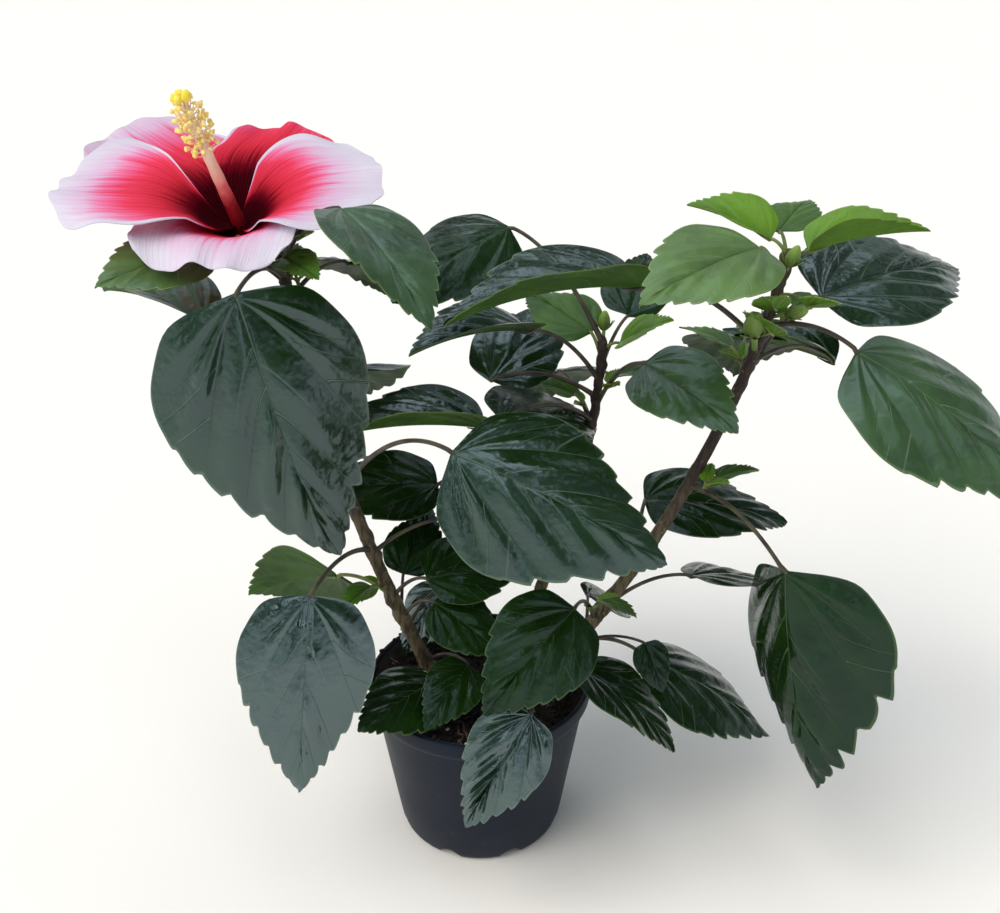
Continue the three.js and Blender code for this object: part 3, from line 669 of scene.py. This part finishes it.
# %% Vein lines, outline and teeth
VEINS = {"count": 6.2, "crowd": 1.25, "fan": 0.42}
TEETH = 10
HALF_WIDTH = 0.37


def outline(m):
    """Half-width at m (0 base, 1 tip) as a share of the widest."""
    m = np.clip(m, 0, 1)
    return np.clip(np.sin(np.pi * m**0.643), 0, None) ** 0.7 * (1 - 0.45 * m**3)


def vein_phase(q, v):
    """Whole numbers on the side veins: count * q^crowd, shifted a little from side to side."""
    shift = 0.2 * np.sign(v) * np.clip((q - 0.4) / 0.2, 0, 1)
    return VEINS["count"] * q ** VEINS["crowd"] + shift


def blade_grid(wide, teeth, seed, rows, cols):
    """Flat places on a blade: x along and y across, as shares of its length.

    Row q leaves the midrib at c = ((q - fan)/(1 - fan))^0.75 and meets the edge at
    m = 1 - (1 - q)^1.7; between them x = c + (m - c)*|v|^1.3 and y = v * half-width(m).
    """
    q = np.linspace(0, 1, rows)[:, None]
    t = np.linspace(-1, 1, cols)[None, :]
    v = t * (0.55 + 0.45 * np.abs(t))
    fan = VEINS["fan"]
    c = 0.02 * np.minimum(q / fan, 1) + 0.98 * np.clip((q - fan) / (1 - fan), 0, None) ** 0.75
    m = 1 - (1 - q) ** 1.7
    a, side = np.abs(v), np.sign(v)
    y = v * np.maximum(HALF_WIDTH * wide * outline(m), 0.002)
    x = c + (m - c) * a**1.3 - 0.035 * np.exp(-(((m - 0.07) / 0.06) ** 2)) * a**1.5
    part = (q * TEETH + 0.22 * np.sin(9 * q + seed + side)) % 1
    saw = np.where(part < 0.82, np.sin(np.pi / 2 * part / 0.82) ** 0.8, (1 - part) / 0.18) - 0.5
    size = teeth * np.clip((m - 0.38) / 0.2, 0, 1) * np.clip((1 - m) / 0.15, 0.1, 1)
    size = size * (0.7 + 0.6 * np.sin(11 * q + 2 * seed) ** 2)
    return q + 0 * v, v + 0 * q, x + 1.3 * size * saw * a**7, y + side * size * saw * a**7

# %% Quilting between the veins
RELIEF = {"pillow": 0.019, "ridge": 0.0016, "spine": 0.006, "wave": 0.018, "lump": 0.012}


def quilting(q, v, x, y, length, seed, quilt):
    """Height of the blade's surface: pillows sin^2(pi*phase) between veins, a sunk midrib, slow waves."""
    roll = np.random.default_rng(seed)
    phase = vein_phase(q, v)
    a = np.abs(v)
    swell = roll.uniform(0.35, 1.3, (2, 8))[(v > 0).astype(int), phase.astype(int)]
    room = np.clip(np.hypot(x, y) / 0.3, 0, 1) * np.clip((1 - x) / 0.3, 0, 1)
    pillow = np.sin(np.pi * phase) ** 2 * np.sin(np.pi * a**0.8) * swell * room
    spine = np.exp(-((y / 0.014) ** 2))
    beat = roll.uniform(0, 2 * np.pi, 2)
    half = np.sign(v)
    waves = np.sin(7.5 * x + beat[0] + 1.2 * half) * 0.6 + np.sin(13 * x + beat[1] * half) * 0.3
    lumps = ripples(np.stack([x * 9, y * 12], -1), seed + 50, 10, 1.0)
    ridges = (quilt - 1) * np.sin(np.pi * phase) ** 2 * np.sin(46 * a + 4 * x) * room
    height = RELIEF["pillow"] * quilt * pillow + RELIEF["ridge"] * ridges - RELIEF["spine"] * spine
    return (height + RELIEF["wave"] * waves * a**2.2 + RELIEF["lump"] * lumps * a) * length

# %% The blade's own axes and its arch
def blade_frame(blade, roll):
    """The blade's own axes: t along its midrib, n out of its upper face and s = t x n."""
    t = toward(blade[0], -blade[1])
    level = np.array([np.sin(np.radians(blade[0])), -np.cos(np.radians(blade[0])), 0.0])
    n = np.cross(level, t) * np.cos(np.radians(roll)) + level * np.sin(np.radians(roll))
    return t, n, np.cross(t, n)


def midrib(base, row, x):
    """Point and upper normal at x on a midrib bent into an arc of `arch` degrees."""
    t, n, _ = blade_frame(row["blade"], row["roll"])
    a = np.radians(row["arch"])
    tilt = a * (0.5 - np.asarray(x, dtype=float))[..., None]
    out = (np.sin(a / 2) - np.sin(tilt)) / a
    up = (np.cos(tilt) - np.cos(a / 2)) / a
    length = row["blade"][2]
    return base + length * (t * out + n * up), n * np.cos(tilt) - t * np.sin(tilt)

# %% Thin plates and whole blades
def add_sheet(batch, top, under, places, slots):
    """A thin closed plate: a grid of top points, the same grid beneath it, and a rim between."""
    rows, cols = top.shape[:2]
    number = np.arange(rows * cols).reshape(rows, cols)
    rim = np.concatenate([number[0, :-1], number[:-1, -1], number[-1, :0:-1], number[:0:-1, 0]])
    after, below = np.roll(rim, -1), rows * cols
    upper = grid_faces(rows, cols)
    lower = upper[:, ::-1] + below
    edge = np.stack([rim, rim + below, after + below, after], -1)
    points = np.concatenate([top.reshape(-1, 3), under.reshape(-1, 3)])
    batch.add(points, [upper, lower, edge], np.tile(places.reshape(-1, 2), (2, 1)), slots)


LARGE, MEDIUM, SMALL = (101, 27), (71, 21), (41, 13)  # rows and columns of a blade's grid


def add_blade(batch, base, row, seed, slots, thick=0.45):
    """One blade: the flat grid laid on the arched midrib, folded into a V and quilted."""
    length = row["blade"][2]
    grid = LARGE if length > 60 else MEDIUM if length > 35 else SMALL
    q, v, x, y = blade_grid(row["wide"], row["teeth"], seed, *grid)
    _, _, s = blade_frame(row["blade"], row["roll"])
    point, normal = midrib(base, row, x)
    fold = np.radians(row["fold"])
    across = np.maximum(HALF_WIDTH * row["wide"] * outline(x), np.abs(y) + 1e-3)
    lift = length * (np.abs(y) * np.sin(fold) - 0.12 * y * y / across)
    lift = lift + quilting(q, v, x, y, length, seed, row["quilt"])
    level = y * np.cos(fold) + row["sweep"] * np.clip(x, 0, 1) ** 4
    top = point + s * (level * length)[..., None] + normal * lift[..., None]
    add_sheet(batch, top, top - normal * thick, np.stack([(v + 1) / 2, q], -1), slots)

# %% [markdown]
# ## Leaf finishes
# Old leaves are deep green and waxy, young ones lime. The veins are thin paler lines that
# follow the same rows as the mesh, so the material repeats the mesh's formula from the
# blade's own two parameters. Undersides are duller, with raised veins. Each tint is its
# own finish, handed out leaf by leaf.

# %% Draw veins on a blade
def vein_lines(finish, v, q, phase):
    """Line masks: side veins on whole phases, the midrib, branches off the second and faint in-betweens."""
    off = finish.math("PINGPONG", phase, 0.5)
    fan = 1 - finish.rise(q, VEINS["fan"], VEINS["fan"] + 0.05)
    width = (1 - v * 0.75) * (1 - fan) * 0.024 + fan * 0.009 / (v + 0.1)
    side = (1 - finish.rise(off / width, 0.4, 1.2)) * finish.rise(phase, 0.7, 0.9)
    spine = 1 - finish.rise(v, 0.004, 0.017)
    outer = finish.rise(phase, 0.7, 1.2) * (1 - finish.rise(phase, 1.97, 2.0))
    reach = finish.math("MAXIMUM", 2 - phase, 0)
    branch = finish.math("PINGPONG", (v - reach**1.6 * 0.53 - 0.42) / 0.28, 0.5)
    branch = (1 - finish.rise(branch, 0.012, 0.05)) * outer * finish.rise(v, 0.4, 0.5)
    weak = finish.math("PINGPONG", phase + 0.5, 0.5)
    inner = finish.rise(phase, 2.2, 2.4) * (1 - finish.rise(v, 0.3, 0.7))
    weak = (1 - finish.rise(weak, 0.01, 0.03)) * inner
    firm = finish.math("MAXIMUM", side * (1 - finish.rise(v, 0.6, 1.0) * 0.6), spine)
    return finish.math("MAXIMUM", firm, branch * 0.6 + weak * 0.35)

# %% Wax, tint and relief
def leaf_finish(name, tint, vein, wax, gloss, line=1.0, wet=False):
    """Tint with paler vein lines and edge; wax is its roughness, gloss its refractive index."""
    tint, vein = paint(*tint), paint(*vein)
    finish = Finish(name)
    across, q = finish.surface_place()
    lean = across * 2 - 1
    v = finish.math("ABSOLUTE", lean)
    late = finish.math("MINIMUM", finish.math("MAXIMUM", (q - 0.4) / 0.2, 0), 1)
    shift = finish.math("SIGN", lean) * late * 0.2
    phase = finish.math("POWER", q, VEINS["crowd"]) * VEINS["count"] + shift
    lines = vein_lines(finish, v, q, phase)
    spot = finish.place()
    cloud = finish.speckle(spot, 42, 3)
    wrinkle = finish.speckle(spot, 190, 2)
    pucker = finish.speckle(spot, 100, 2)
    dark = tuple(c * 0.62 for c in tint[:3]) + (1,)
    tone = finish.blend(finish.rise(cloud, 0.3, 0.7), dark, tint)
    tone = finish.blend(lines * 0.42 * line, tone, vein)
    tone = finish.blend(finish.rise(v, 0.972, 0.996) * 0.5, tone, vein)
    rough = cloud * 0.16 + wax
    if wet:
        pool = finish.rise(finish.speckle(spot, 85, 2), 0.6, 0.64)
        rough = rough * (1 - pool) + pool * 0.06
    relief = (1 - lines) * 0.4 + pucker * 0.9 + wrinkle * 0.25
    return finish.done(
        Base_Color=tone, Roughness=rough, IOR=gloss, Specular_Tint=(0.72, 0.91, 1.0, 1),
        Normal=finish.bump(relief, 0.7, 0.0016),
    )

# %% Tints of the leaves' two faces
TOPS = {
    "deep": ((20, 45, 8), (84, 108, 66), 0.15, 1.45),
    "sky": ((20, 45, 12), (92, 114, 82), 0.14, 1.85),
    "wet": ((20, 44, 20), (92, 114, 90), 0.13, 2.2),
    "mid": ((52, 82, 36), (112, 134, 88), 0.26, 1.85),
    "light": ((92, 124, 60), (138, 158, 104), 0.32, 1.7),
    "fresh": ((66, 104, 20), (112, 142, 62), 0.34, 1.5),
    "lime": ((98, 140, 26), (150, 180, 90), 0.34, 1.5),
}
UNDERS = {
    "olive": ((40, 64, 16), (84, 104, 50), 0.5, 1.35),
    "spring": ((58, 90, 24), (106, 134, 64), 0.5, 1.35),
    "lime": ((84, 124, 20), (136, 166, 70), 0.5, 1.35),
}
LEAF_FINISHES = [leaf_finish("leaf_" + tone, *TOPS[tone], wet=tone == "wet") for tone in TOPS]
LEAF_FINISHES += [leaf_finish("under_" + tone, *UNDERS[tone], line=0.8) for tone in UNDERS]


def leaf_slots(row):
    """Finish numbers of a blade's top, underside and rim."""
    under = len(TOPS) + list(UNDERS).index(row["under"])
    return [list(TOPS).index(row["tone"]), under, under]


print("leaf finishes:", len(LEAF_FINISHES))

# %% [markdown]
# ## Stalks and axil shoots
# A leaf stalk leaves the stem, rises and arches over to its blade. In its corner sit small
# shoots: two or three leaflets that have just opened. They follow the same dealt numbers
# as the solids, and one that would touch a stem or another leaf is left out.

# %% Repeat the dealing rule
def dice(seed):
    """A repeatable run of numbers in 0..1: state = state*1664525 + 1013904223, cut to 32 bits."""
    state = ((seed + 1) * 2654435761) % 2**32
    while True:
        state = (state * 1664525 + 1013904223) % 2**32
        yield state / 2**32


def stalk_at(foot, row, f):
    """Point at f (0..1) on a stalk: foot + reach*f, arched up by 0.14 of its length at mid-way."""
    f = np.asarray(f, dtype=float)[..., None]
    heading, rise, length = row["stalk"]
    lift = np.array([0.0, 0.0, 1.0]) * 4 * f * (1 - f) * 0.14 * length
    return foot + toward(heading, rise) * length * f + lift


STEM_POINTS = np.concatenate([axis_at(s, np.arange(SOIL_TOP, s["tip"], 5.0)) for s in STEMS.values()])
RIB_POINTS = np.stack([
    midrib(stalk_at(axis_at(STEMS[r["on"]], r["at"]), r, 1.0), r, np.linspace(0.1, 0.9, 5))[0]
    for r in EVERY_LEAF
])


def is_clear(point, number):
    """True where a point keeps 8 mm off every stem and 13 mm off the other leaves' midribs."""
    near_stem = np.linalg.norm(STEM_POINTS - point, axis=1).min() < 8
    ribs = np.linalg.norm(RIB_POINTS - point, axis=2).min(1)
    ribs[number] = 99
    return not near_stem and ribs.min() > 13


def axil_shoots(foot, row, number):
    """The dealt shoots of one leaf, without those that are not clear."""
    kept = []
    for k in range(row["axil"]):
        roll, side = dice(number * 16 + k), 1 if k % 2 == 0 else -1
        heading = row["stalk"][0] + side * (40 + 45 * next(roll))
        rise = 30 + 30 * next(roll)
        stalk = (heading, rise, 9 + 6 * next(roll))
        blade = (heading + 50 * (next(roll) - 0.5), 25 * (next(roll) - 0.7), 17 + 13 * next(roll))
        young = leaf(0, stalk, blade, 40 * (next(roll) - 0.5), 18, 20, "fresh", "spring", teeth=0.06)
        start = stalk_at(foot, row, 0.16)
        base = stalk_at(start, young, 1.0)
        if all(is_clear(midrib(base, young, np.array(u))[0], number) for u in (0.5, 1.0)):
            kept.append((start, young))
    return kept

# %% Stalks and leaflets
def ring_frame(path):
    """Two directions across a path at each point: level side, and the one square to it."""
    along = np.gradient(path, axis=0)
    along /= np.linalg.norm(along, axis=1, keepdims=True)
    chord = path[-1] - path[0]
    steep = abs(chord[2]) > 0.8 * np.linalg.norm(chord)
    side = np.cross(along, (0.0, 1.0, 0.0) if steep else (0.0, 0.0, 1.0))
    side /= np.linalg.norm(side, axis=1, keepdims=True)
    return side, np.cross(side, along)


def add_tube(batch, path, radii, sides, slot):
    """A round bar: each ring is centre - side*r*cos(turn) + up*r*sin(turn)."""
    side, up = ring_frame(path)
    turn = around(sides)[None, :, None]
    r = np.broadcast_to(radii, len(path))[:, None, None]
    rings = path[:, None] - side[:, None] * r * np.cos(turn) + up[:, None] * r * np.sin(turn)
    add_rings(batch, rings, slot)


def add_stalk(batch, foot, row, slot):
    """A tapering stalk that swells at both ends and runs on under the blade's base."""
    f = np.linspace(0, 1, 22)
    size = min(1, 0.55 + row["blade"][2] / 200)
    radii = size * (1.35 - 0.4 * f) * (1 + 0.45 * np.exp(-f * 12) + 0.3 * np.exp(-(1 - f) * 14))
    path = stalk_at(foot, row, f)
    length = row["blade"][2]
    rib, normal = midrib(path[-1], row, np.array([0.0, 3.0, 9.0]) / length)
    tail = rib - normal * (np.array([[0.8], [1.3], [0.9]]) * size + 0.006 * length)
    radii = np.append(radii, np.array([0.7, 0.3]) * size)
    add_tube(batch, np.concatenate([path[:-1], tail]), radii, 12, slot)


def leaflets(start, row, seed):
    """Two tiny folded leaflets at a shoot's foot, one on each side of its stalk."""
    made = []
    for side in (-1, 1):
        heading = row["stalk"][0] + 70 * side
        tiny = leaf(0, (heading, 40, 3.5), (heading - 20 * side, -25, 8 + 2 * (seed % 3)), 0, 28, 20,
                    "lime", "lime", teeth=0.07)
        made.append((stalk_at(start, row, 0.15), tiny))
    return made

# %% Grow every leaf of a stem
def grow(side):
    """Blades, young leaves and stalks of one stem, each kind gathered apart."""
    blades, young, stalks = Batch(), Batch(), Batch()
    for number, row in enumerate(EVERY_LEAF):
        if row["on"] != side:
            continue
        foot = axis_at(STEMS[side], row["at"])
        old = row["tone"] in ("deep", "sky", "wet") or row["stalk"][2] > 40
        add_stalk(stalks, foot, row, 0 if old else 1)
        home = blades if row["blade"][2] > 35 else young
        add_blade(home, stalk_at(foot, row, 1.0), row, number, leaf_slots(row))
        for k, (start, shoot) in enumerate(axil_shoots(foot, row, number)):
            add_stalk(stalks, start, shoot, 1)
            add_blade(young, stalk_at(start, shoot, 1.0), shoot, number * 7 + k, leaf_slots(shoot))
            for twin, tiny in leaflets(start, shoot, number):
                add_stalk(stalks, twin, tiny, 1)
                add_blade(young, stalk_at(twin, tiny, 1.0), tiny, number, leaf_slots(tiny))
    return blades, young, stalks


def stalk_finish(name, dark, light):
    """A stalk's skin: drawn-out streaks and a faint down."""
    finish = Finish(name)
    spot = finish.place()
    cloud = finish.speckle(spot, 110, 4)
    down = finish.speckle(spot, 1500, 2)
    tone = finish.blend(finish.rise(cloud, 0.35, 0.65), paint(*dark), paint(*light))
    return finish.done(Base_Color=tone, Roughness=0.5, Normal=finish.bump(down, 0.25, 0.0005))


STALKS = [
    stalk_finish("stalk_plum", (44, 33, 32), (74, 70, 50)),
    stalk_finish("stalk_green", (84, 98, 44), (116, 128, 66)),
]
for side in STEMS:
    blades, young, stalks = grow(side)
    covered = sorted(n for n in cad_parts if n.startswith("spray_" + side)) + ["crown_" + side]
    blades.make("leaves_" + side, LEAF_FINISHES, "foliage", covered)
    young.make("young_leaves_" + side, LEAF_FINISHES, "foliage")
    stalks.make("stalks_" + side, STALKS, "foliage", sharp=80)

# %% [markdown]
# ## The bloom
# Five petals overlap round a dark throat and open into a ruffled dish, red inside and
# white at the edge. Cloth simulation could wrinkle them, but the ruffle is regular enough
# for a formula. Seen from above a petal is a spoon, narrow at the heart; its height is one
# funnel shared by all five, plus its own drop, its laps over the neighbours and ruffles
# that grow towards the edge. Its row says how far the dark reaches and where white begins.

# %% The petals' table and the bloom's own axes
BLOOM = {"heart": (-114.5, 31, 336), "lean": 16, "lean_to": 259, "brim": 44, "depth": 19,
         "throat": 9, "stalk_at": 315}
PETAL_KEYS = ("turn", "reach", "half", "slow", "laps", "drop", "roll", "wave", "dark", "white")
PETALS = [dict(zip(PETAL_KEYS, row)) for row in [
    (9, 71, (38, 43), (0.7, 0.7), (5, 0), 3, 2, 1, 17, 43),
    (73, 68, (26, 38), (0.7, 0.7), (3, -6), 3, 1, 1, 31, 82),
    (137, 97, (36, 38), (0.7, 0.7), (-1, -2), 7, -5, 1, 30, 82),
    (173, 85, (38, 42), (0.7, 2.4), (0.5, 3), 0, 1, 1.2, 22, 62),
    (263, 49, (38, 42), (0.7, 0.7), (1, -1), 8, 7, 1.7, 14, 29),
]]
HEART = np.array(BLOOM["heart"], dtype=float)
UP = toward(BLOOM["lean_to"], 90 - BLOOM["lean"])
RIGHT = np.array([1.0, 0, 0]) - UP[0] * UP
RIGHT /= np.linalg.norm(RIGHT)
AWAY = np.cross(UP, RIGHT)
print("petals:", len(PETALS), "reaching", max(p["reach"] for p in PETALS), "mm")

# %% The shape of a petal
def ease(x):
    """A quarter sine: 0 at 0, and 1 from 1 on."""
    return np.sin(np.pi / 2 * np.minimum(1, x))


def petal_flat(petal, u, v, k):
    """Places seen from above: out = reach*u^1.1 along the petal and half*v*w(u) beside that line.

    The width w = ease(u/(0.45 + 0.19*slow))^slow opens soon or late on each side.
    """
    reach = petal["reach"] * (1 + 0.01 * u**6 * np.sin(12 * v + 3 * k))
    out = reach * u**1.1 * (1 - 0.2 * u * u * np.abs(v) ** 2.6)
    slow = np.where(v > 0, *petal["slow"])
    w = ease(u / (0.45 + 0.19 * slow)) ** slow
    return out, np.where(v > 0, *petal["half"]) * v * w * (1 - 0.12 * u**5)


def petal_rise(petal, u, v, far, k):
    """Height: a funnel up to the brim, less drop and roll, with ruffles and laps over the neighbours."""
    a = np.abs(v)
    brim = ease(far / BLOOM["brim"])
    cup = BLOOM["depth"] * brim - BLOOM["throat"] * (1 - brim)
    drop = petal["drop"] * ease(u / 0.6)
    roll = petal["roll"] * np.clip((u - 0.55) / 0.45, 0, 1) ** 2
    ruffle = u**3 * (1.6 * np.sin(5.5 * v + 2 * k) + 0.8 * np.sin(9 * v + k))
    ruffle = ruffle + 0.5 * u**7 * np.sin(15 * v + k)
    frill = 2.2 * a**4 * u * np.sin(11 * u + 1.7 * k + 2 * np.sign(v))
    lap = np.where(v > 0, *petal["laps"]) * a**1.5 * np.sin(np.pi * np.minimum(1, 0.12 + 0.8 * u))
    return cup - drop - roll + ruffle * petal["wave"] + frill + lap + 0.2 * k


def petal_points(k, rows=64, cols=57):
    """A petal's sheet, turned about the heart, and its places: across, and from dark to white."""
    petal = PETALS[k]
    u = np.linspace(0, 1, rows)[:, None]
    v = np.linspace(1, -1, cols)[None, :]
    out, aside = petal_flat(petal, u, v, k)
    far = np.hypot(out, aside)
    height = petal_rise(petal, u, v, far, k) * np.minimum(1, 0.2 + 4 * u)
    t = np.radians(petal["turn"])
    east, north = out * np.cos(t) - aside * np.sin(t), out * np.sin(t) + aside * np.cos(t)
    shade = np.interp(far, [0, petal["dark"], petal["white"], petal["white"] + 20], [0, 0.45, 0.78, 1])
    points = HEART + RIGHT * east[..., None] + AWAY * north[..., None] + UP * height[..., None]
    return points, np.stack([(v + 1) / 2 + 0 * u, shade], -1)

# %% Petal silk, then the petals
silk = Finish("petal_silk")
across, u = silk.surface_place()
v = silk.math("ABSOLUTE", across * 2 - 1)
both = silk.node("ShaderNodeCombineXYZ", {}, {"X": across * 34, "Y": u * 2.2})
streak = silk.speckle(both, 1.0, 4)
fine = silk.speckle(silk.node("ShaderNodeCombineXYZ", {}, {"X": across * 120, "Y": u * 3}), 1.0, 3)
hem = (v**4) * 0.16 + silk.rise(v, 0.9, 1.0) * 0.3 * silk.rise(u, 0.3, 0.55)
zone = u + hem + (streak - 0.5) * 0.34 * u + (fine - 0.5) * 0.1
tone = silk.ramp(zone, [
    (0.0, paint(30, 0, 3)), (0.36, paint(50, 0, 8)), (0.45, paint(104, 6, 24)),
    (0.54, paint(204, 44, 62)), (0.68, paint(224, 62, 92)), (0.77, paint(226, 110, 154)),
    (0.86, paint(214, 176, 208)), (1.0, paint(212, 206, 222)),
])
veins = 1 - silk.rise(silk.math("PINGPONG", across * 26 + streak * 0.5, 0.5), 0.02, 0.16)
tone = silk.blend(veins * 0.22 * (1 - silk.rise(zone, 0.55, 0.9)), tone, paint(120, 8, 34))
tone = silk.blend(veins * 0.12 * silk.rise(zone, 0.7, 0.9), tone, paint(214, 190, 218))
SILK = silk.done(
    Base_Color=tone, Roughness=0.7, IOR=1.1, Normal=silk.bump(streak + veins * 0.4, 0.3, 0.001)
)
petals = Batch()
for k in range(len(PETALS)):
    top, places = petal_points(k)
    thin = (1.1 - 0.7 * places[..., 1])[..., None]
    add_sheet(petals, top, top - UP * thin, places, [0, 0, 0])
petals.make("petals", [SILK], "petal", ["flower"], sharp=60)

# %% [markdown]
# ## Column, stamens and stigma
# A long tube stands out of the throat. Its upper third carries a brush of fine stamens
# with powdery anthers, and five velvet pads sit on its tip. They are too fine for solids
# to show well, so they are dealt here round the column's axis by the golden angle.

# %% The column's axis and its soft finishes
COLUMN = {"length": 67, "heading": 240, "rise": 65, "stamens": 90}
SHAFT = toward(COLUMN["heading"], COLUMN["rise"])
BESIDE = np.cross(RIGHT, SHAFT)
BESIDE /= np.linalg.norm(BESIDE)
ACROSS = np.cross(BESIDE, SHAFT)


def on_column(h, r=0.0, turn=0.0):
    """Point at height h on the column's axis, r away from it in the direction `turn`."""
    h, r, turn = (np.asarray(a, dtype=float)[..., None] for a in (h, r, turn))
    return HEART + SHAFT * h + BESIDE * r * np.cos(turn) + ACROSS * r * np.sin(turn)


def flesh(name, colours):
    """A soft finish whose colour runs along the piece through a few stops."""
    finish = Finish(name)
    _, along = finish.surface_place()
    cloud = finish.speckle(finish.place(), 260, 3)
    tone = finish.ramp(along + (cloud - 0.5) * 0.12, [(place, paint(*c)) for place, c in colours])
    return finish.done(Base_Color=tone, Roughness=0.6, Normal=finish.bump(cloud, 0.2, 0.0006))


COLUMN_SKIN = flesh("column_flesh", [
    (0.0, (104, 2, 8)), (0.3, (150, 10, 24)), (0.4, (216, 90, 92)), (0.5, (238, 168, 154)),
    (0.7, (246, 216, 188)), (1.0, (250, 236, 190)),
])
THREAD = flesh("filament", [(0.0, (250, 226, 200)), (1.0, (246, 206, 190))])
ANTHER = flesh("anther_pollen", [(0.0, (252, 230, 112)), (1.0, (255, 226, 164))])
STIGMA = flesh("stigma_velvet", [(0.0, (246, 214, 60)), (1.0, (252, 232, 96))])

# %% Column, stamens and stigma
column = Batch()
h = np.linspace(-12, COLUMN["length"] - 4, 48)
share = np.linspace(0, 1, 48)
add_tube(column, on_column(h), 3.7 - 1.7 * share**0.9 + 0.1 * np.sin(share * 40), 24, 0)
roll = np.random.default_rng(7)
tips = []
for i in range(COLUMN["stamens"]):
    start = COLUMN["length"] - 28 + 23 * i / COLUMN["stamens"]
    turn, reach = i * 2.4 + roll.uniform(0, 0.6), roll.uniform(2.6, 7)
    f = np.linspace(0, 1, 6)
    path = on_column(start + roll.uniform(1, 4.5) * f**2, 1.2 + reach * f, turn + 0 * f)
    add_tube(column, path, 0.3 - 0.1 * f, 6, 1)
    tips.append(path[-1])
pads = []
for i in range(5):
    f = np.linspace(0, 1, 8)
    path = on_column(COLUMN["length"] - 7 + 8 * f, 0.8 + 1.8 * f**1.5, i * 1.257 + 0.3 + 0 * f)
    add_tube(column, path, 0.55 - 0.1 * f, 8, 1)
    pads.append(path[-1])
add_lumps(column, tips, roll.uniform(0.95, 1.35, (len(tips), 1)) * (1.35, 0.9, 0.9), 12, 2)
add_lumps(column, pads, np.full((5, 3), 2.4), 13, 3)
column.make("column_and_stamens", [COLUMN_SKIN, THREAD, ANTHER, STIGMA], "petal", sharp=80)

# %% [markdown]
# ## Calyx, flower stalk and buds
# Beneath the petals sits a green cup with five points, ringed by narrow bracts. The closed
# buds near each stem's tip are the same thing before it opens. Both are turned shapes
# whose radius swings five times round, which gives the ribs without modelling each one.

# %% Ribbed spindles and bracts
GREEN_SKIN = flesh("sepal_green", [(0.0, (70, 92, 34)), (0.6, (96, 124, 50)), (1.0, (124, 150, 70))])


def square_to(way):
    """Two unit directions square to a way and to each other."""
    side = np.cross(way, (0.3, 0.9, 0.1))
    side /= np.linalg.norm(side)
    return side, np.cross(side, way)


def add_ribbed(batch, foot, way, length, girth, slot):
    """A ribbed spindle: radius = girth*sin(pi*f^0.8)^0.6 * (1 + ribs), f running from foot to tip."""
    f = np.linspace(0.02, 0.985, 26)[:, None]
    turn = around(30)[None, :]
    r = girth * np.sin(np.pi * f**0.8) ** 0.6 * (1 + 0.1 * np.cos(5 * turn + 2 * f)) + 0.25
    side, up = square_to(way)
    rings = foot + way * (f * length)[..., None] - side * (r * np.cos(turn))[..., None]
    add_rings(batch, rings + up * (r * np.sin(turn))[..., None], slot)


def add_bracts(batch, foot, way, count, length, slot):
    """Narrow pointed bracts round a bud's foot, each a slim folded blade."""
    side, up = square_to(way)
    for k in range(count):
        turn = 2 * np.pi * k / count
        out = way * 0.75 + 0.66 * (side * np.cos(turn) + up * np.sin(turn))
        heading = np.degrees(np.arctan2(out[1], out[0]))
        droop = -np.degrees(np.arcsin(out[2] / np.linalg.norm(out)))
        bract = leaf(0, (0, 0, 1), (heading, droop, length), 0, 20, -30, wide=0.34, teeth=0.0)
        add_blade(batch, foot + 0.8 * (out - way * 0.75), bract, k, [slot] * 3, thick=0.3)

# %% Buds
BUDS = [("right", 313, (330, 70), 20), ("right", 279, (252, 54), 32), ("right", 296, (330, 20), 20),
        ("left", 312, (350, 35), 20), ("middle", 268, (80, 70), 18)]
green = Batch()
for side, at, way, length in BUDS:
    foot, way = axis_at(STEMS[side], at), toward(*way)
    f = np.linspace(0, 0.46, 8)
    add_tube(green, foot + way * (f * length)[:, None], 0.05 * length, 10, 0)
    add_ribbed(green, foot + way * 0.42 * length, way, 0.58 * length, 0.15 * length, 0)
    add_bracts(green, foot + way * 0.44 * length, way, 7, 0.4 * length, 0)

# %% Calyx and flower stalk
f = np.linspace(0, 1, 22)[:, None]
turn = around(60)[None, :]
cup_h = -23 + f * (15 + 6 * (0.5 + 0.5 * np.cos(5 * turn)))
cup_r = (2.2 + 4.6 * ease(f * 2.2) + 2.2 * f) * (1 + 0.03 * np.cos(10 * turn))
cup_h = np.concatenate([cup_h, cup_h[:8:-1]])
cup_r = np.concatenate([cup_r, cup_r[:8:-1] - 0.7])
add_rings(green, on_column(cup_h, cup_r, -turn), 0)
add_bracts(green, on_column(-21.5), SHAFT, 8, 13, 0)
foot, end = axis_at(STEMS["left"], BLOOM["stalk_at"]), on_column(-22)
bend = foot + (end - foot) * 0.55 + (1, 3, -3)
f = np.linspace(0, 1, 30)[:, None]
path = (1 - f) ** 2 * foot + 2 * f * (1 - f) * (2 * bend - 0.5 * foot - 0.5 * end) + f**2 * end
add_tube(green, path, 1.8 + 0.5 * np.exp(-(((f[:, 0] - 0.62) / 0.06) ** 2)), 16, 0)
green.make("buds_and_calyx", [GREEN_SKIN], "foliage", sharp=60)
